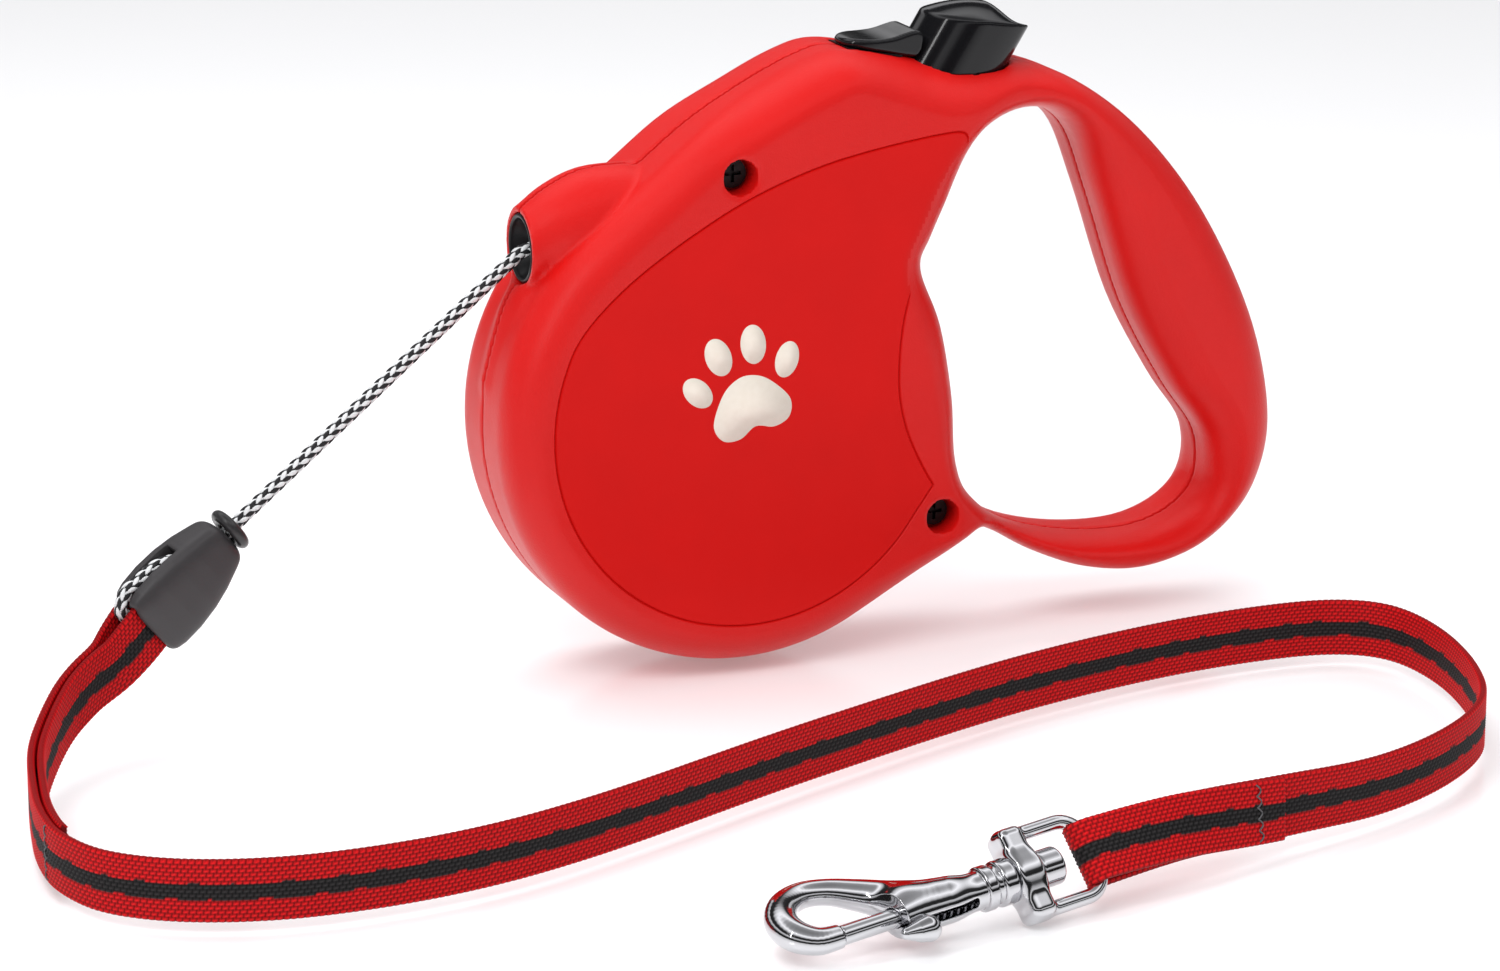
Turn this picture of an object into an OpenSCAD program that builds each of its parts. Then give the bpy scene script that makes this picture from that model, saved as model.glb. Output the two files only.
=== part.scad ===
// Retractable cord leash: spring reel in a two-part hand grip, with a brake button,
// a lock slide, a braided cord, and a webbing tether that ends in a swivel bolt snap.
// Origin: spool axis at the parting plane. +X towards the hand grip, -X towards the cord
// outlet, +Z up, and -Y is the side with the screw holes. Millimetres.

/* [Housing] */
// Radius of the round body that holds the reel
body_r = 49; // [48:0.5:50]
// Half thickness of the body, parting plane to side face
body_half_t = 17.5; // [17:0.5:19]
// Half thickness of the hand grip
grip_half_t = 12.8; // [12:0.2:14]
// How far the rounded edge reaches in from the side face
edge_depth = 9; // [7:0.5:10]
// Rounding of the body's rim, measured in the side view
rim_round = 8; // [6:0.5:9]
// Shell wall thickness over the side faces
wall = 2.3; // [2:0.1:2.5]
// Radius of the bulb around the cord outlet
bulb_r = 9; // [8:0.5:10]
// Radius of the screw counterbores
screw_hole_r = 3.45; // [3:0.05:3.6]
// Radius of the housing screw shanks
screw_r = 1.5; // [1.2:0.1:1.6]

/* [Reel] */
// Outer radius of the spool flanges
flange_r = 41.6; // [40.6:0.1:41.6]
// Half width of the cord space between the flanges
cord_space = 6; // [5.5:0.5:6]
// Flange thickness
flange_t = 2; // [1.5:0.5:2]
// Outer radius of the drum that holds the mainspring
drum_r = 28; // [26:0.5:28]
// Number of ratchet teeth on the left flange
teeth = 24; // [24:24:48]
// Depth of the ratchet teeth
tooth_h = 3; // [2.5:0.5:3]
// Radius of the fixed arbor
arbor_r = 4; // [3.5:0.5:4]
// Radial running clearance
run_gap = 0.05; // [0.02:0.01:0.08]
// Turns of the mainspring
spring_turns = 9; // [6:1:10]
// Diameter of the cord
cord_d = 2.7; // [2.4:0.1:2.8]

/* [Controls] */
// Tilt of the brake button's travel from vertical
brake_tilt = 32; // [30:1:34]
// Travel of the brake button
brake_travel = 3.5; // [2.5:0.5:3.5]
// Half width of the brake button
button_w = 9; // [8:0.5:9]
// Half length of the brake button
button_l = 9.3; // [9:0.1:10.5]
// Slope of the housing's top below the lock slide
top_slope = 10.3; // [9:0.1:12]
// Half width of the lock slide
lock_w = 6; // [5:0.5:6]

/* [Tether] */
// Width of the webbing
strap_w = 11; // [10:0.5:11]
// Thickness of the webbing
strap_t = 1.5; // [1.2:0.1:1.5]
// Length of the cord coupling
coupling_len = 23; // [22:0.1:23]
// Outer radius of the stop ring
stop_ring_r = 4.5; // [4:0.1:5]

/* [Hook] */
// Rod radius of the eye
eye_rod_r = 1.1; // [1:0.1:1.2]
// Outer height of the eye, along its bar
eye_h = 16.4; // [16:0.2:17]
// Distance from the eye's bar to the outer face of its block
eye_reach = 17; // [16:0.5:18]
// Radius of the hook's barrel
barrel_r = 3.3; // [3:0.1:3.5]
// Length of the hook's barrel, collars included
barrel_len = 23; // [22:0.5:24]
// Radius of the sliding bolt
bolt_r = 1.7; // [1.5:0.1:1.8]
// Radius of the bow's rod
bow_rod_r = 2.4; // [2:0.1:2.5]

/* [Hidden] */

eps = 0.01;
far = 60;
inner_half_t = body_half_t - wall;
// The reel's cavity sits off centre, because the hand opening cuts into the body's back
cavity_x = -1.8;
cavity_r = flange_r + 1.2 - cavity_x;
deep_cavity_r = cavity_r - 2.9;
rim_band = body_half_t - edge_depth;
hub_r = 7.5;
cord_r = cord_d / 2;

red = [0.85, 0.12, 0.11];
black = [0.08, 0.08, 0.08];
grey = [0.25, 0.24, 0.25];
steel = [0.72, 0.73, 0.75];
cord_grey = [0.6, 0.6, 0.6];

// ---------- curves and lofts ----------

function blend4(a, b, c, d, t) =
  0.5 * (2 * b + (c - a) * t + (2 * a - 5 * b + 4 * c - d) * t * t
         + (3 * b - a - 3 * c + d) * t * t * t);

function clamp_i(i, n) = max(0, min(n - 1, i));

// Smooth curve through the points, k steps for each span, from point "first" to point "last"
function through(p, k, first, last) = let (n = len(p))
  [for (i = [first:last - 1]) for (j = [0:k - 1])
    blend4(p[clamp_i(i - 1, n)], p[i], p[clamp_i(i + 1, n)], p[clamp_i(i + 2, n)], j / k)];

function open_curve(p, k) = concat(through(p, k, 0, len(p) - 1), [p[len(p) - 1]]);

function closed_curve(p, k) = let (n = len(p))
  [for (i = [0:n - 1]) for (j = [0:k - 1])
    blend4(p[(i + n - 1) % n], p[i], p[(i + 1) % n], p[(i + 2) % n], j / k)];

function unit(v) = v / norm(v);

function ramp(a, b, x) = let (t = max(0, min(1, (x - a) / (b - a)))) t * t * (3 - 2 * t);

// Solid through a list of rings with equal point counts, closed by flat ends. Each ring
// runs counter-clockwise about the direction in which the rings follow each other.
module loft(rings) {
  n = len(rings[0]);
  m = len(rings);
  sides = [for (k = [0:m - 2]) for (i = [0:n - 1])
    let (a = k * n + i, b = k * n + (i + 1) % n)
    each [[a, b + n, b], [a, a + n, b + n]]];
  lid = [for (i = [n - 1:-1:0]) (m - 1) * n + i];
  floor_face = [for (i = [0:n - 1]) i];
  polyhedron([for (r = rings) each r], concat([floor_face], sides, [lid]));
}

// Frame vectors along a path of points
function heading(p, i) = unit(p[min(i + 1, len(p) - 1)] - p[max(i - 1, 0)]);
function upright(t) = unit([0, 0, 1] - t[2] * t);
function side_of(t) = cross(upright(t), t);

// Round rod along a path; radii gives the radius at each point
module rod(p, radii, facets) {
  loft([for (i = [0:len(p) - 1])
    let (t = heading(p, i), u = upright(t), s = side_of(t))
    [for (k = [0:facets - 1]) let (a = -360 * k / facets)
      p[i] + radii[i] * (cos(a) * u + sin(a) * s)]]);
}

module even_rod(p, r, facets) {
  rod(p, [for (q = p) r], facets);
}

// Coil spring along +Z, from 0 to height
module coil(r, wire_r, height, turns, wire_facets) {
  steps = 14;
  rise = height - 2 * wire_r;
  loft([for (i = [0:turns * steps])
    let (a = 360 * i / steps, z = wire_r + rise * i / (turns * steps),
         out = [cos(a), sin(a), 0])
    [for (k = [0:wire_facets - 1]) let (b = -360 * k / wire_facets)
      out * (r + wire_r * cos(b)) + [0, 0, z + wire_r * sin(b)]]]);
}

// Prism of a side-view (x, z) outline between two y values
module side_prism(outline, y0, y1) {
  translate([0, y1, 0]) rotate([90, 0, 0]) linear_extrude(y1 - y0) polygon(outline);
}

// Cylinder along Y between two y values
module y_cyl(r, y0, y1, x, z) {
  translate([x, y1, z]) rotate([90, 0, 0]) cylinder(r = r, h = y1 - y0, $fn = 72);
}

// ---------- housing outline ----------

function on_rim(a, edge) = [body_r * cos(a), body_r * sin(a), edge];

// Angles at which the straight flanks leave the round body
rim_start = 129;
rim_end = 299.5;
rim_steps = 40;

// The rest of the outline: x, z and the edge rounding, counter-clockwise
grip_outline = [
  on_rim(rim_end - 7, rim_round), on_rim(rim_end, rim_round),
  [37.5, -35, 6], [46.5, -30.2, 4], [50.8, -28.4, 3.4], [56, -30.6, 3.2], [64.5, -35.6, 3.2],
  [75.2, -39.9, 3.2], [87, -41.4, 3.2], [99.2, -38.9, 4], [108.5, -33.3, 6], [114.6, -25, 8],
  [117.1, -13, 9.3], [114.1, 3.8, 9.3], [107.2, 20.5, 9.3], [97.2, 36.9, 8], [84.5, 51, 6],
  [70.8, 60.5, 4.2], [58, 64.6, 4.2], [45, 65.4, 5], [33, 67.6, 6.5], [22.5, 69.5, 7.5],
  [14.8, 67.9, 8], [4.3, 63.1, 8], [-7.2, 56.5, 8], [-19.8, 46.8, 8],
  on_rim(rim_start, rim_round), on_rim(rim_start + 7, rim_round)];

outline = concat(
  [for (i = [0:rim_steps - 1])
    on_rim(rim_start + (rim_end - rim_start) * i / rim_steps, rim_round)],
  through(grip_outline, 3, 1, len(grip_outline) - 2));

// Hand opening at the parting plane: x, z and the edge rounding, counter-clockwise
hand_hole = closed_curve([
  [62, 55, 4], [52, 51, 6], [45, 42.5, 8], [39.6, 32, 8], [37.7, 26, 8], [42, 14.5, 8],
  [44.7, 0, 7.5], [45.5, -13, 6], [49, -21, 4], [60, -29.5, 3.2], [76, -33.9, 3.2],
  [92, -33.8, 4], [102.3, -27.5, 6], [103, -16.3, 8.5], [95, -4.2, 9.3], [85.5, 13, 9.3],
  [77.5, 36, 8.5], [71.5, 50.5, 5]], 3);

function half_t_at(x) = grip_half_t + (body_half_t - grip_half_t) * (1 - ramp(40, 62, x));

// Points of an outline moved inwards (side = 1) or outwards (side = -1) along its normals
function edge_ring(p, turn, side) = let (n = len(p))
  [for (i = [0:n - 1])
    let (t = unit([for (k = [0:1]) p[(i + 1) % n][k] - p[(i + n - 1) % n][k]]),
         shift = side * p[i][2] * (1 - cos(turn)),
         x = p[i][0] - t[1] * shift, z = p[i][1] + t[0] * shift)
    [x, -(half_t_at(x) - edge_depth * (1 - sin(turn))), z]];

function flat_ring(ring, y) = [for (q = ring) [q[0], y, q[2]]];

round_turns = [0, 18, 36, 54, 72];
// The side face cuts the rounded edge just above its last ring
face_trim = 0.15;

// Outline with a rounded edge on the -Y side, open-ended past the side face
module rounded_side(p, side, y_start) {
  last = edge_ring(p, round_turns[4], side);
  loft(concat([flat_ring(edge_ring(p, 0, side), y_start)],
              [for (a = round_turns) edge_ring(p, a, side)],
              [flat_ring(last, -far / 2)]));
}

// Thickness of the half housing, tapering from the body to the grip
module half_slab() {
  stations = concat([-far], [for (x = [40:2.75:62]) x], [2 * far]);
  top = [for (x = stations) [x, -(half_t_at(x) - face_trim)]];
  translate([0, 0, -far]) linear_extrude(2.5 * far)
    polygon(concat([[-far, 0]], top, [[2 * far, 0]]));
}

outlet_mid = [-40.5, 0, 34.4];
outlet_r = 7.5;
funnel_r = 6.75;

// Bulb that runs from the cord outlet back into the body
module outlet_bulb() {
  hull() {
    translate(outlet_mid) rotate([0, 90, 0]) cylinder(r = outlet_r, h = 1, $fn = 32);
    translate([-30, 0, 38.6]) sphere(r = bulb_r, $fn = 32);
    translate([-21.5, 0, 40.2]) sphere(r = bulb_r, $fn = 32);
  }
}

screw_spots = [[-2.4, 48.3], [40.2, -23]];

module half_housing() {
  difference() {
    union() {
      intersection() {
        rounded_side(outline, 1, 0);
        half_slab();
      }
      intersection() {
        outlet_bulb();
        translate([-far, -far, -far]) cube([far, far, 2 * far]);
      }
    }
    rounded_side(hand_hole, -1, 1);
    y_cyl(cavity_r, -rim_band - 0.8, 1, cavity_x, 0);
    y_cyl(deep_cavity_r, -inner_half_t, 1, cavity_x, 0);
    grip_cavity();
    outlet_bore();
    button_well();
    guide_pocket();
  }
  difference() {
    y_cyl(hub_r, -inner_half_t - eps, -cord_space - flange_t - 0.4, 0, 0);
    y_cyl(arbor_r + run_gap, -inner_half_t + 0.3, 0, 0, 0);
  }
}

// Hollow inside the grip, with the grip's own walls left around it
module grip_cavity() {
  outer = [[109, -12], [106.5, 2], [100, 17.5], [91, 32], [83, 41.5]];
  inner = [[85, 33], [91, 15.5], [99.5, 1.5], [107, -10]];
  side_prism(concat(outer, inner), -grip_half_t + wall, 1);
}

module outlet_bore() {
  translate([-42, 0, outlet_mid[2]]) rotate([0, 90, 0]) cylinder(r = funnel_r + 0.05, h = 14.2, $fn = 72);
}

module left_shell() {
  color(red) difference() {
    half_housing();
    for (s = screw_spots) {
      y_cyl(screw_hole_r, -far / 2, -10.5, s[0], s[1]);
      y_cyl(screw_r + 0.2, -far / 2, 1, s[0], s[1]);
    }
  }
}

module right_shell() {
  color(red) mirror([0, 1, 0]) difference() {
    half_housing();
    for (s = screw_spots) {
      y_cyl(screw_r + run_gap, -10.5, 1, s[0], s[1]);
    }
  }
}

module housing_screws() {
  head_h = 2;
  color(steel) for (s = screw_spots) {
    difference() {
      union() {
        y_cyl(screw_r, -10.5, 9.5, s[0], s[1]);
        y_cyl(2.8, -10.5 - head_h, -10.5, s[0], s[1]);
      }
      for (a = [0, 90]) {
        translate([s[0], -10.5 - head_h, s[1]]) rotate([0, a, 0]) cube([3.4, 2, 0.7], center = true);
      }
    }
  }
}

// ---------- cord outlet ----------

module cord_outlet() {
  color(black) translate([-40.9, 0, outlet_mid[2]]) rotate([0, 90, 0]) difference() {
    cylinder(r = funnel_r, h = 12.6, $fn = 72);
    translate([0, 0, -eps]) cylinder(r1 = 5.9, r2 = 2.4, h = 9.5, $fn = 72);
    cylinder(r = 2.4, h = 13, $fn = 72);
  }
}

// ---------- brake button, spring and lock ----------

button_mid = 7.5;
cap_bottom = 72.5;
cap_mid_z = 90.4;
cap_rise = 24;
cap_crown = 2;
cap_shift = -1.4;
stem_r = 4;
spring_seat = 59.6;
stem_bottom = 50;
brake_leg_tip = sqrt(pow(flange_r + 0.8, 2) - button_mid * button_mid);

// Places a child in the brake button's frame: Z along its travel, X across the housing
module brake_frame() {
  rotate([0, brake_tilt, 0]) translate([button_mid, 0, 0]) children();
}

// Prism of the button's plan: round at the front, nearly square at the rear
module button_prism(half_l, half_w, h) {
  corner = 3;
  translate([cap_shift, 0, 0]) {
    translate([half_w - half_l, 0, 0]) cylinder(r = half_w, h = h, $fn = 72);
    for (s = [-1, 1]) {
      translate([half_l - corner, s * (half_w - corner), 0]) cylinder(r = corner, h = h, $fn = 48);
    }
    translate([half_w - half_l, -half_w, 0]) cube([2 * half_l - half_w - corner, 2 * half_w, h]);
    translate([0, corner - half_w, 0]) cube([half_l, 2 * (half_w - corner), h]);
  }
}

module button_well() {
  well_gap = 0.35;
  brake_frame() {
    translate([0, 0, cap_bottom - brake_travel - 0.3])
      button_prism(button_l + well_gap, button_w + well_gap, far / 2);
    translate([0, 0, spring_seat]) cylinder(r = 5.8, h = 12, $fn = 72);
    translate([0, 0, 40]) cylinder(r = stem_r + run_gap, h = 30, $fn = 72);
    translate([-1.7, -cord_space - flange_t - 0.9, 40]) cube([3.4, 9, stem_bottom + 3 - 40]);
  }
}

module brake_button() {
  leg_y = cord_space + flange_t + 0.5;
  crown_r = 18;
  color(black) brake_frame() {
    intersection() {
      translate([0, 0, cap_bottom]) button_prism(button_l, button_w, far / 2);
      translate([0, 0, cap_mid_z]) rotate([0, -cap_rise, 0])
        translate([0, 0, cap_crown - crown_r]) rotate([0, 90, 0])
          cylinder(r = crown_r, h = far, center = true, $fn = 120);
    }
    translate([0, 0, stem_bottom]) cylinder(r = stem_r, h = cap_bottom - stem_bottom + 1, $fn = 72);
    translate([-1.5, -leg_y, stem_bottom]) cube([3, leg_y, 2.6]);
    translate([-1.5, -leg_y, brake_leg_tip])
      cube([3, leg_y - cord_space - 0.2, stem_bottom + 2 - brake_leg_tip]);
  }
}

module brake_spring() {
  color(steel) brake_frame() translate([0, 0, spring_seat + 0.05])
    coil(4.95, 0.45, cap_bottom - spring_seat - 0.1, 5, 7);
}

// Places a child in the lock's frame: X rearwards along the top slope, Z out of the top
module lock_frame() {
  translate([22.5, 0, 69.5]) rotate([0, top_slope, 0]) children();
}

module control_guide() {
  plate = [[2.4, -0.1], [13.6, -0.1], [12.5, -2.9], [2.4, -2.9]];
  color(black) lock_frame() difference() {
    side_prism(plate, -5.4, 5.4);
    translate([3.4, -2.6, -far / 2]) cube([8.2, 5.2, far]);
  }
}

module guide_pocket() {
  lock_frame() {
    side_prism([[2.3, 9], [17.9, 9], [17.9, -0.2], [13.7, -0.2], [12.6, -3], [2.3, -3]], -5.5, 5.5);
    translate([1.8, -5, -5.4]) cube([10.6, 10, 3]);
  }
}

// The rear of the slide follows the round front of the brake button
module lock_slide() {
  cap = [[1.7, 0.9], [2.4, 1.6], [5, 1.7], [8.5, 2.2], [11.5, 3], [14, 4.2], [15.6, 5],
         [16.6, 5], [17.1, 4.3], [17.3, 0.25], [2.2, 0.25]];
  nose_r = 6;
  button_gap = 0.8;
  color(black) difference() {
    lock_frame() {
      intersection() {
        side_prism(cap, -lock_w, lock_w);
        union() {
          translate([1.7 + nose_r, 0, -1]) cylinder(r = nose_r, h = 9, $fn = 72);
          translate([1.7 + nose_r, -lock_w, -1]) cube([20, 2 * lock_w, 9]);
        }
      }
      translate([7, -2.45, -3.4]) cube([4.4, 4.9, 4]);
      translate([5.6, -4.4, -4.9]) cube([6.4, 8.8, 1.8]);
    }
    brake_frame() button_prism(button_l + button_gap, button_w + button_gap, 2 * far);
  }
}

// ---------- reel ----------

// Ratchet angle that puts a gap under the brake leg
gap_angle = atan2(
  brake_leg_tip * cos(brake_tilt) - button_mid * sin(brake_tilt),
  brake_leg_tip * sin(brake_tilt) + button_mid * cos(brake_tilt));

module spool() {
  y_left = -cord_space - flange_t;
  drum_wall = 1.8;
  notch_w = 5.8;
  color(black) difference() {
    union() {
      y_cyl(flange_r, y_left, -cord_space, 0, 0);
      y_cyl(drum_r - 0.05, -cord_space - eps, cord_space + eps, 0, 0);
      y_cyl(flange_r, cord_space, cord_space + flange_t, 0, 0);
    }
    y_cyl(drum_r - drum_wall, y_left - 1, cord_space, 0, 0);
    y_cyl(arbor_r + run_gap, -far, far, 0, 0);
    for (i = [0:teeth - 1]) {
      rotate([0, -gap_angle - 360 * i / teeth, 0])
        translate([flange_r - tooth_h, y_left - 1, -notch_w / 2]) cube([9, flange_t + 1, notch_w]);
    }
  }
}

module spool_cover() {
  y_left = -cord_space - flange_t;
  color(grey) difference() {
    y_cyl(drum_r - 1.85, y_left, -cord_space - 0.2, 0, 0);
    y_cyl(arbor_r + run_gap, -far, far, 0, 0);
  }
}

module mainspring() {
  steps = 24;
  total = spring_turns * steps;
  inner = arbor_r + 0.9;
  pitch = (drum_r - 3.2 - inner) / spring_turns;
  strip_t = 0.6;
  spiral = [for (i = [0:total]) let (a = 360 * i / steps, r = inner + pitch * i / steps)
    [r * cos(a), r * sin(a)]];
  back = [for (i = [total:-1:0]) let (a = 360 * i / steps, r = inner + strip_t + pitch * i / steps)
    [r * cos(a), r * sin(a)]];
  color(steel) side_prism(concat(spiral, back), -5.4, 5.4);
}

module spring_arbor() {
  color(steel) difference() {
    y_cyl(arbor_r, -inner_half_t + 0.4, inner_half_t - 0.4, 0, 0);
    translate([0, -4, -0.5]) cube([far, 8, 1]);
  }
}

// Wound cord, its outer turns showing as ridges
module cord_winding() {
  ridge_r = 33;
  color(cord_grey) rotate([90, 0, 0]) rotate_extrude($fn = 96) {
    translate([drum_r, -5.6]) square([ridge_r - drum_r, 11.2]);
    for (i = [-1.5:1:1.5]) {
      translate([ridge_r, i * 2.8]) circle(r = 1.4, $fn = 24);
    }
  }
}

// ---------- cord and coupling ----------

lead_path = [[-1.4, 0, 35.9], [-28, 0, 34.75], [-33, 0, 34.6], [-36.5, 0, 34.4]];
mouth = [-38.3, 0, 34.2];
cord_exit = [-41, 0, 33.4];
coupling_top = [-103.3, -10, -12.6];
// Direction of the coupling's axis, from its cord end to its strap end
coupling_turn = 189.9;
coupling_drop = 40.7;
coupling_roll = -96;
cord_dir = unit(coupling_top - cord_exit);
ring_gap = 1.5;

module cord_lead() {
  color(cord_grey) even_rod(open_curve(lead_path, 4), cord_r, 12);
}

module cord() {
  path = open_curve([mouth, cord_exit, cord_exit + cord_dir * 8, coupling_top - cord_dir * 8,
                     coupling_top - cord_dir * 0.4], 3);
  color(cord_grey) even_rod(path, cord_r, 12);
}

// Places a child on the cord's line, Z along the cord towards the coupling
module along_cord(distance_before_coupling) {
  c = coupling_top - cord_dir * distance_before_coupling;
  translate(c) rotate([0, acos(cord_dir[2]), atan2(cord_dir[1], cord_dir[0])]) children();
}

module stop_ring() {
  ring_wire = 1.25;
  color(black) along_cord(ring_gap) rotate_extrude($fn = 72)
    translate([stop_ring_r - ring_wire, 0]) circle(r = ring_wire, $fn = 24);
}

// Places a child in the coupling's frame: X along its axis, Y across its width
module coupling_frame() {
  translate(coupling_top) rotate([0, 0, coupling_turn]) rotate([0, coupling_drop, 0])
    rotate([coupling_roll, 0, 0]) children();
}

mouth_depth = 4.6;
window_start = 8.9;
window_bay = 3;
coupling_play = 0.5;

module cord_coupling() {
  end_r = 1.4;
  color(grey) coupling_frame() difference() {
    hull() {
      for (s = [-1, 1]) {
        translate([3.3, s * 1.2, 0]) sphere(r = 3.3, $fn = 24);
        translate([9.3, s * 2.3, 0]) sphere(r = 4.9, $fn = 24);
        translate([15.2, s * 2.5, 0]) sphere(r = 5.3, $fn = 24);
        for (t = [-1, 1]) {
          translate([coupling_len - end_r, s * (7.1 - end_r), t * (4.6 - end_r)])
            sphere(r = end_r, $fn = 16);
        }
      }
    }
    rotate([0, 90, 0]) cylinder(r = cord_r + coupling_play, h = 12, $fn = 48);
    translate([coupling_len - mouth_depth, -6.1, -3.4]) cube([10, 12.2, 6.8]);
    translate([window_start - window_bay, -4.9, -cord_r - coupling_play])
      cube([20, 4.9, 2 * (cord_r + coupling_play)]);
    translate([window_start, -12, -cord_r - coupling_play])
      cube([20, 12, 2 * (cord_r + coupling_play)]);
  }
}

// A point of the coupling's frame, in the part's own frame
function in_coupling(p) = let (
  c = coupling_roll, d = coupling_drop, e = coupling_turn,
  a = [p[0], p[1] * cos(c) - p[2] * sin(c), p[1] * sin(c) + p[2] * cos(c)],
  b = [a[0] * cos(d) + a[2] * sin(d), a[1], a[2] * cos(d) - a[0] * sin(d)])
  coupling_top + [b[0] * cos(e) - b[1] * sin(e), b[0] * sin(e) + b[1] * cos(e), b[2]];

// Cord that leaves the window, runs down the side and crosses through the strap's loop
module cord_end() {
  down_side = [[0.3, 0, 0], [5.2, 0, 0], [7.4, -0.4, 0], [9.2, -2.6, 0], [11, -5.2, 0],
               [13.6, -6.7, 0], [17.8, -7.3, 0], [20.8, -7.7, 0]];
  // Places along the loop's bar: distance towards the strap's upper edge, and onwards
  through_loop = [[5.6, 0.55], [2.6, 0.2], [-1, 0.1], [-5, 0.1]];
  path = concat([for (p = down_side) in_coupling(p)],
                [for (q = through_loop) loop_a + q[0] * strap_up(0) + q[1] * heading(strap_path, 0)]);
  color(cord_grey) even_rod(open_curve(path, 3), cord_r, 10);
}

// ---------- strap ----------

floor_z = -body_r;
strap_mid_z = floor_z + strap_w / 2;
loop_a = [-120.9, -13.1, -27.6];
loop_b = [7, -153.2, -41.9];
// Rotation of the webbing about its path at the two loops, from upright
lean_a = 2;
lean_b = 40;
layer_gap = 0.3;
loop_offset = 2.4;
flat_offset = (strap_t + layer_gap) / 2;

// Middle of the strap: x, y, z from the coupling to the eye
strap_points = [
  loop_a, [-127, -16, -32.8], [-133.7, -21.3, -35.3], [-139.4, -27.3, -37.8],
  [-145.2, -37.3, -40.3], [-149.5, -47.5, -42.1], [-152.6, -60.5, -43.2],
  [-154.9, -75, strap_mid_z], [-154.6, -88, strap_mid_z], [-149.5, -100, strap_mid_z],
  [-137, -109, strap_mid_z], [-118, -113.6, strap_mid_z], [-92, -112, strap_mid_z],
  [-63.6, -103.1, strap_mid_z], [-17.3, -81.8, strap_mid_z], [31.6, -61.8, strap_mid_z],
  [67.5, -52, strap_mid_z], [94, -49.2, strap_mid_z], [110, -51.5, strap_mid_z],
  [118.2, -60, strap_mid_z], [119.2, -77, strap_mid_z], [114.3, -98, strap_mid_z],
  [105.5, -115.5, strap_mid_z], [90, -129, strap_mid_z], [70.9, -138, strap_mid_z],
  [48, -144, -42.3], [26, -148.8, -41.25], loop_b];
strap_path = open_curve(strap_points, 4);
strap_n = len(strap_path);
tail_a_n = 31;
tail_b_n = 8;

function lean_at(i) =
  lean_a * (1 - ramp(0, 16, i)) + lean_b * ramp(strap_n - 12, strap_n - 1, i);

// Width and thickness directions of the webbing at a station; "up" is its upper edge
function strap_up(i) = let (t = heading(strap_path, i), a = lean_at(i))
  upright(t) * cos(a) - side_of(t) * sin(a);
function strap_left(i) = cross(strap_up(i), heading(strap_path, i));

function spread(i) = flat_offset
  + (loop_offset - flat_offset) * (1 - ramp(0, 7, min(i, strap_n - 1 - i)));

// One station: centre, upper-edge direction, thickness direction
function layer(i, side) = [strap_path[i] + side * spread(i) * strap_left(i), strap_up(i), strap_left(i)];

// Half turn around a loop's centre; "ahead" points out of the strap's end
function half_turn(i, ahead, from_side) =
  [for (a = [30:30:150]) let (l = strap_left(i), out = l * from_side * cos(a) + ahead * sin(a))
    [strap_path[i] + loop_offset * out, strap_up(i), out * from_side]];

strap_stations = concat(
  [for (i = [tail_a_n:-1:0]) layer(i, 1)],
  half_turn(0, -heading(strap_path, 0), 1),
  [for (i = [0:strap_n - 1]) layer(i, -1)],
  half_turn(strap_n - 1, heading(strap_path, strap_n - 1), -1),
  [for (i = [strap_n - 1:-1:strap_n - 1 - tail_b_n]) layer(i, 1)]);

module tether_strap() {
  s = strap_stations;
  color(red) loft([for (i = [0:len(s) - 1])
    let (c = s[i][0], w = s[i][1] * strap_w / 2,
         t = heading([for (q = s) q[0]], i), n = unit(cross(w, t)) * strap_t / 2)
    [c + w - n, c - w - n, c - w + n, c + w + n]]);
}

// Tack rows that hold the two folded ends to the strap
module strap_stitching() {
  stitch_r = 0.35;
  stitch_h = 2 * strap_t + layer_gap + 0.3;
  color(black) for (i = [tail_a_n - 1, strap_n - tail_b_n]) {
    for (k = [-2:2]) {
      c = strap_path[i] + k * 2.1 * strap_up(i) - strap_left(i) * stitch_h / 2;
      d = strap_left(i);
      translate(c) rotate([0, acos(d[2]), atan2(d[1], d[0])])
        cylinder(r = stitch_r, h = stitch_h, $fn = 16);
    }
  }
}

// ---------- swivel eye and bolt snap ----------

hook_turn = 10.5;
hook_rise = 5;
eye_roll = 50;
hook_roll = 11;
block_t = 5;
stem_bore_r = 2;
eye_half = eye_h / 2 - eye_rod_r;
corner_r = 2.4;

// Places a child in the hook's frame: origin at the block's outer face on the swivel axis,
// +X towards the strap, and Y across the piece after its own roll
module hook_frame(roll) {
  translate(loop_b) rotate([0, 0, hook_turn]) rotate([0, -hook_rise, 0])
    translate([-eye_reach, 0, 0]) rotate([roll, 0, 0]) children();
}

module x_cyl(r, x0, x1) {
  translate([x0, 0, 0]) rotate([0, 90, 0]) cylinder(r = r, h = x1 - x0, $fn = 48);
}

module eye_corner(x, y, turn) {
  translate([x, y, 0]) rotate([0, 0, turn]) rotate_extrude(angle = 90, $fn = 48)
    translate([corner_r, 0]) circle(r = eye_rod_r, $fn = 24);
}

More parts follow.
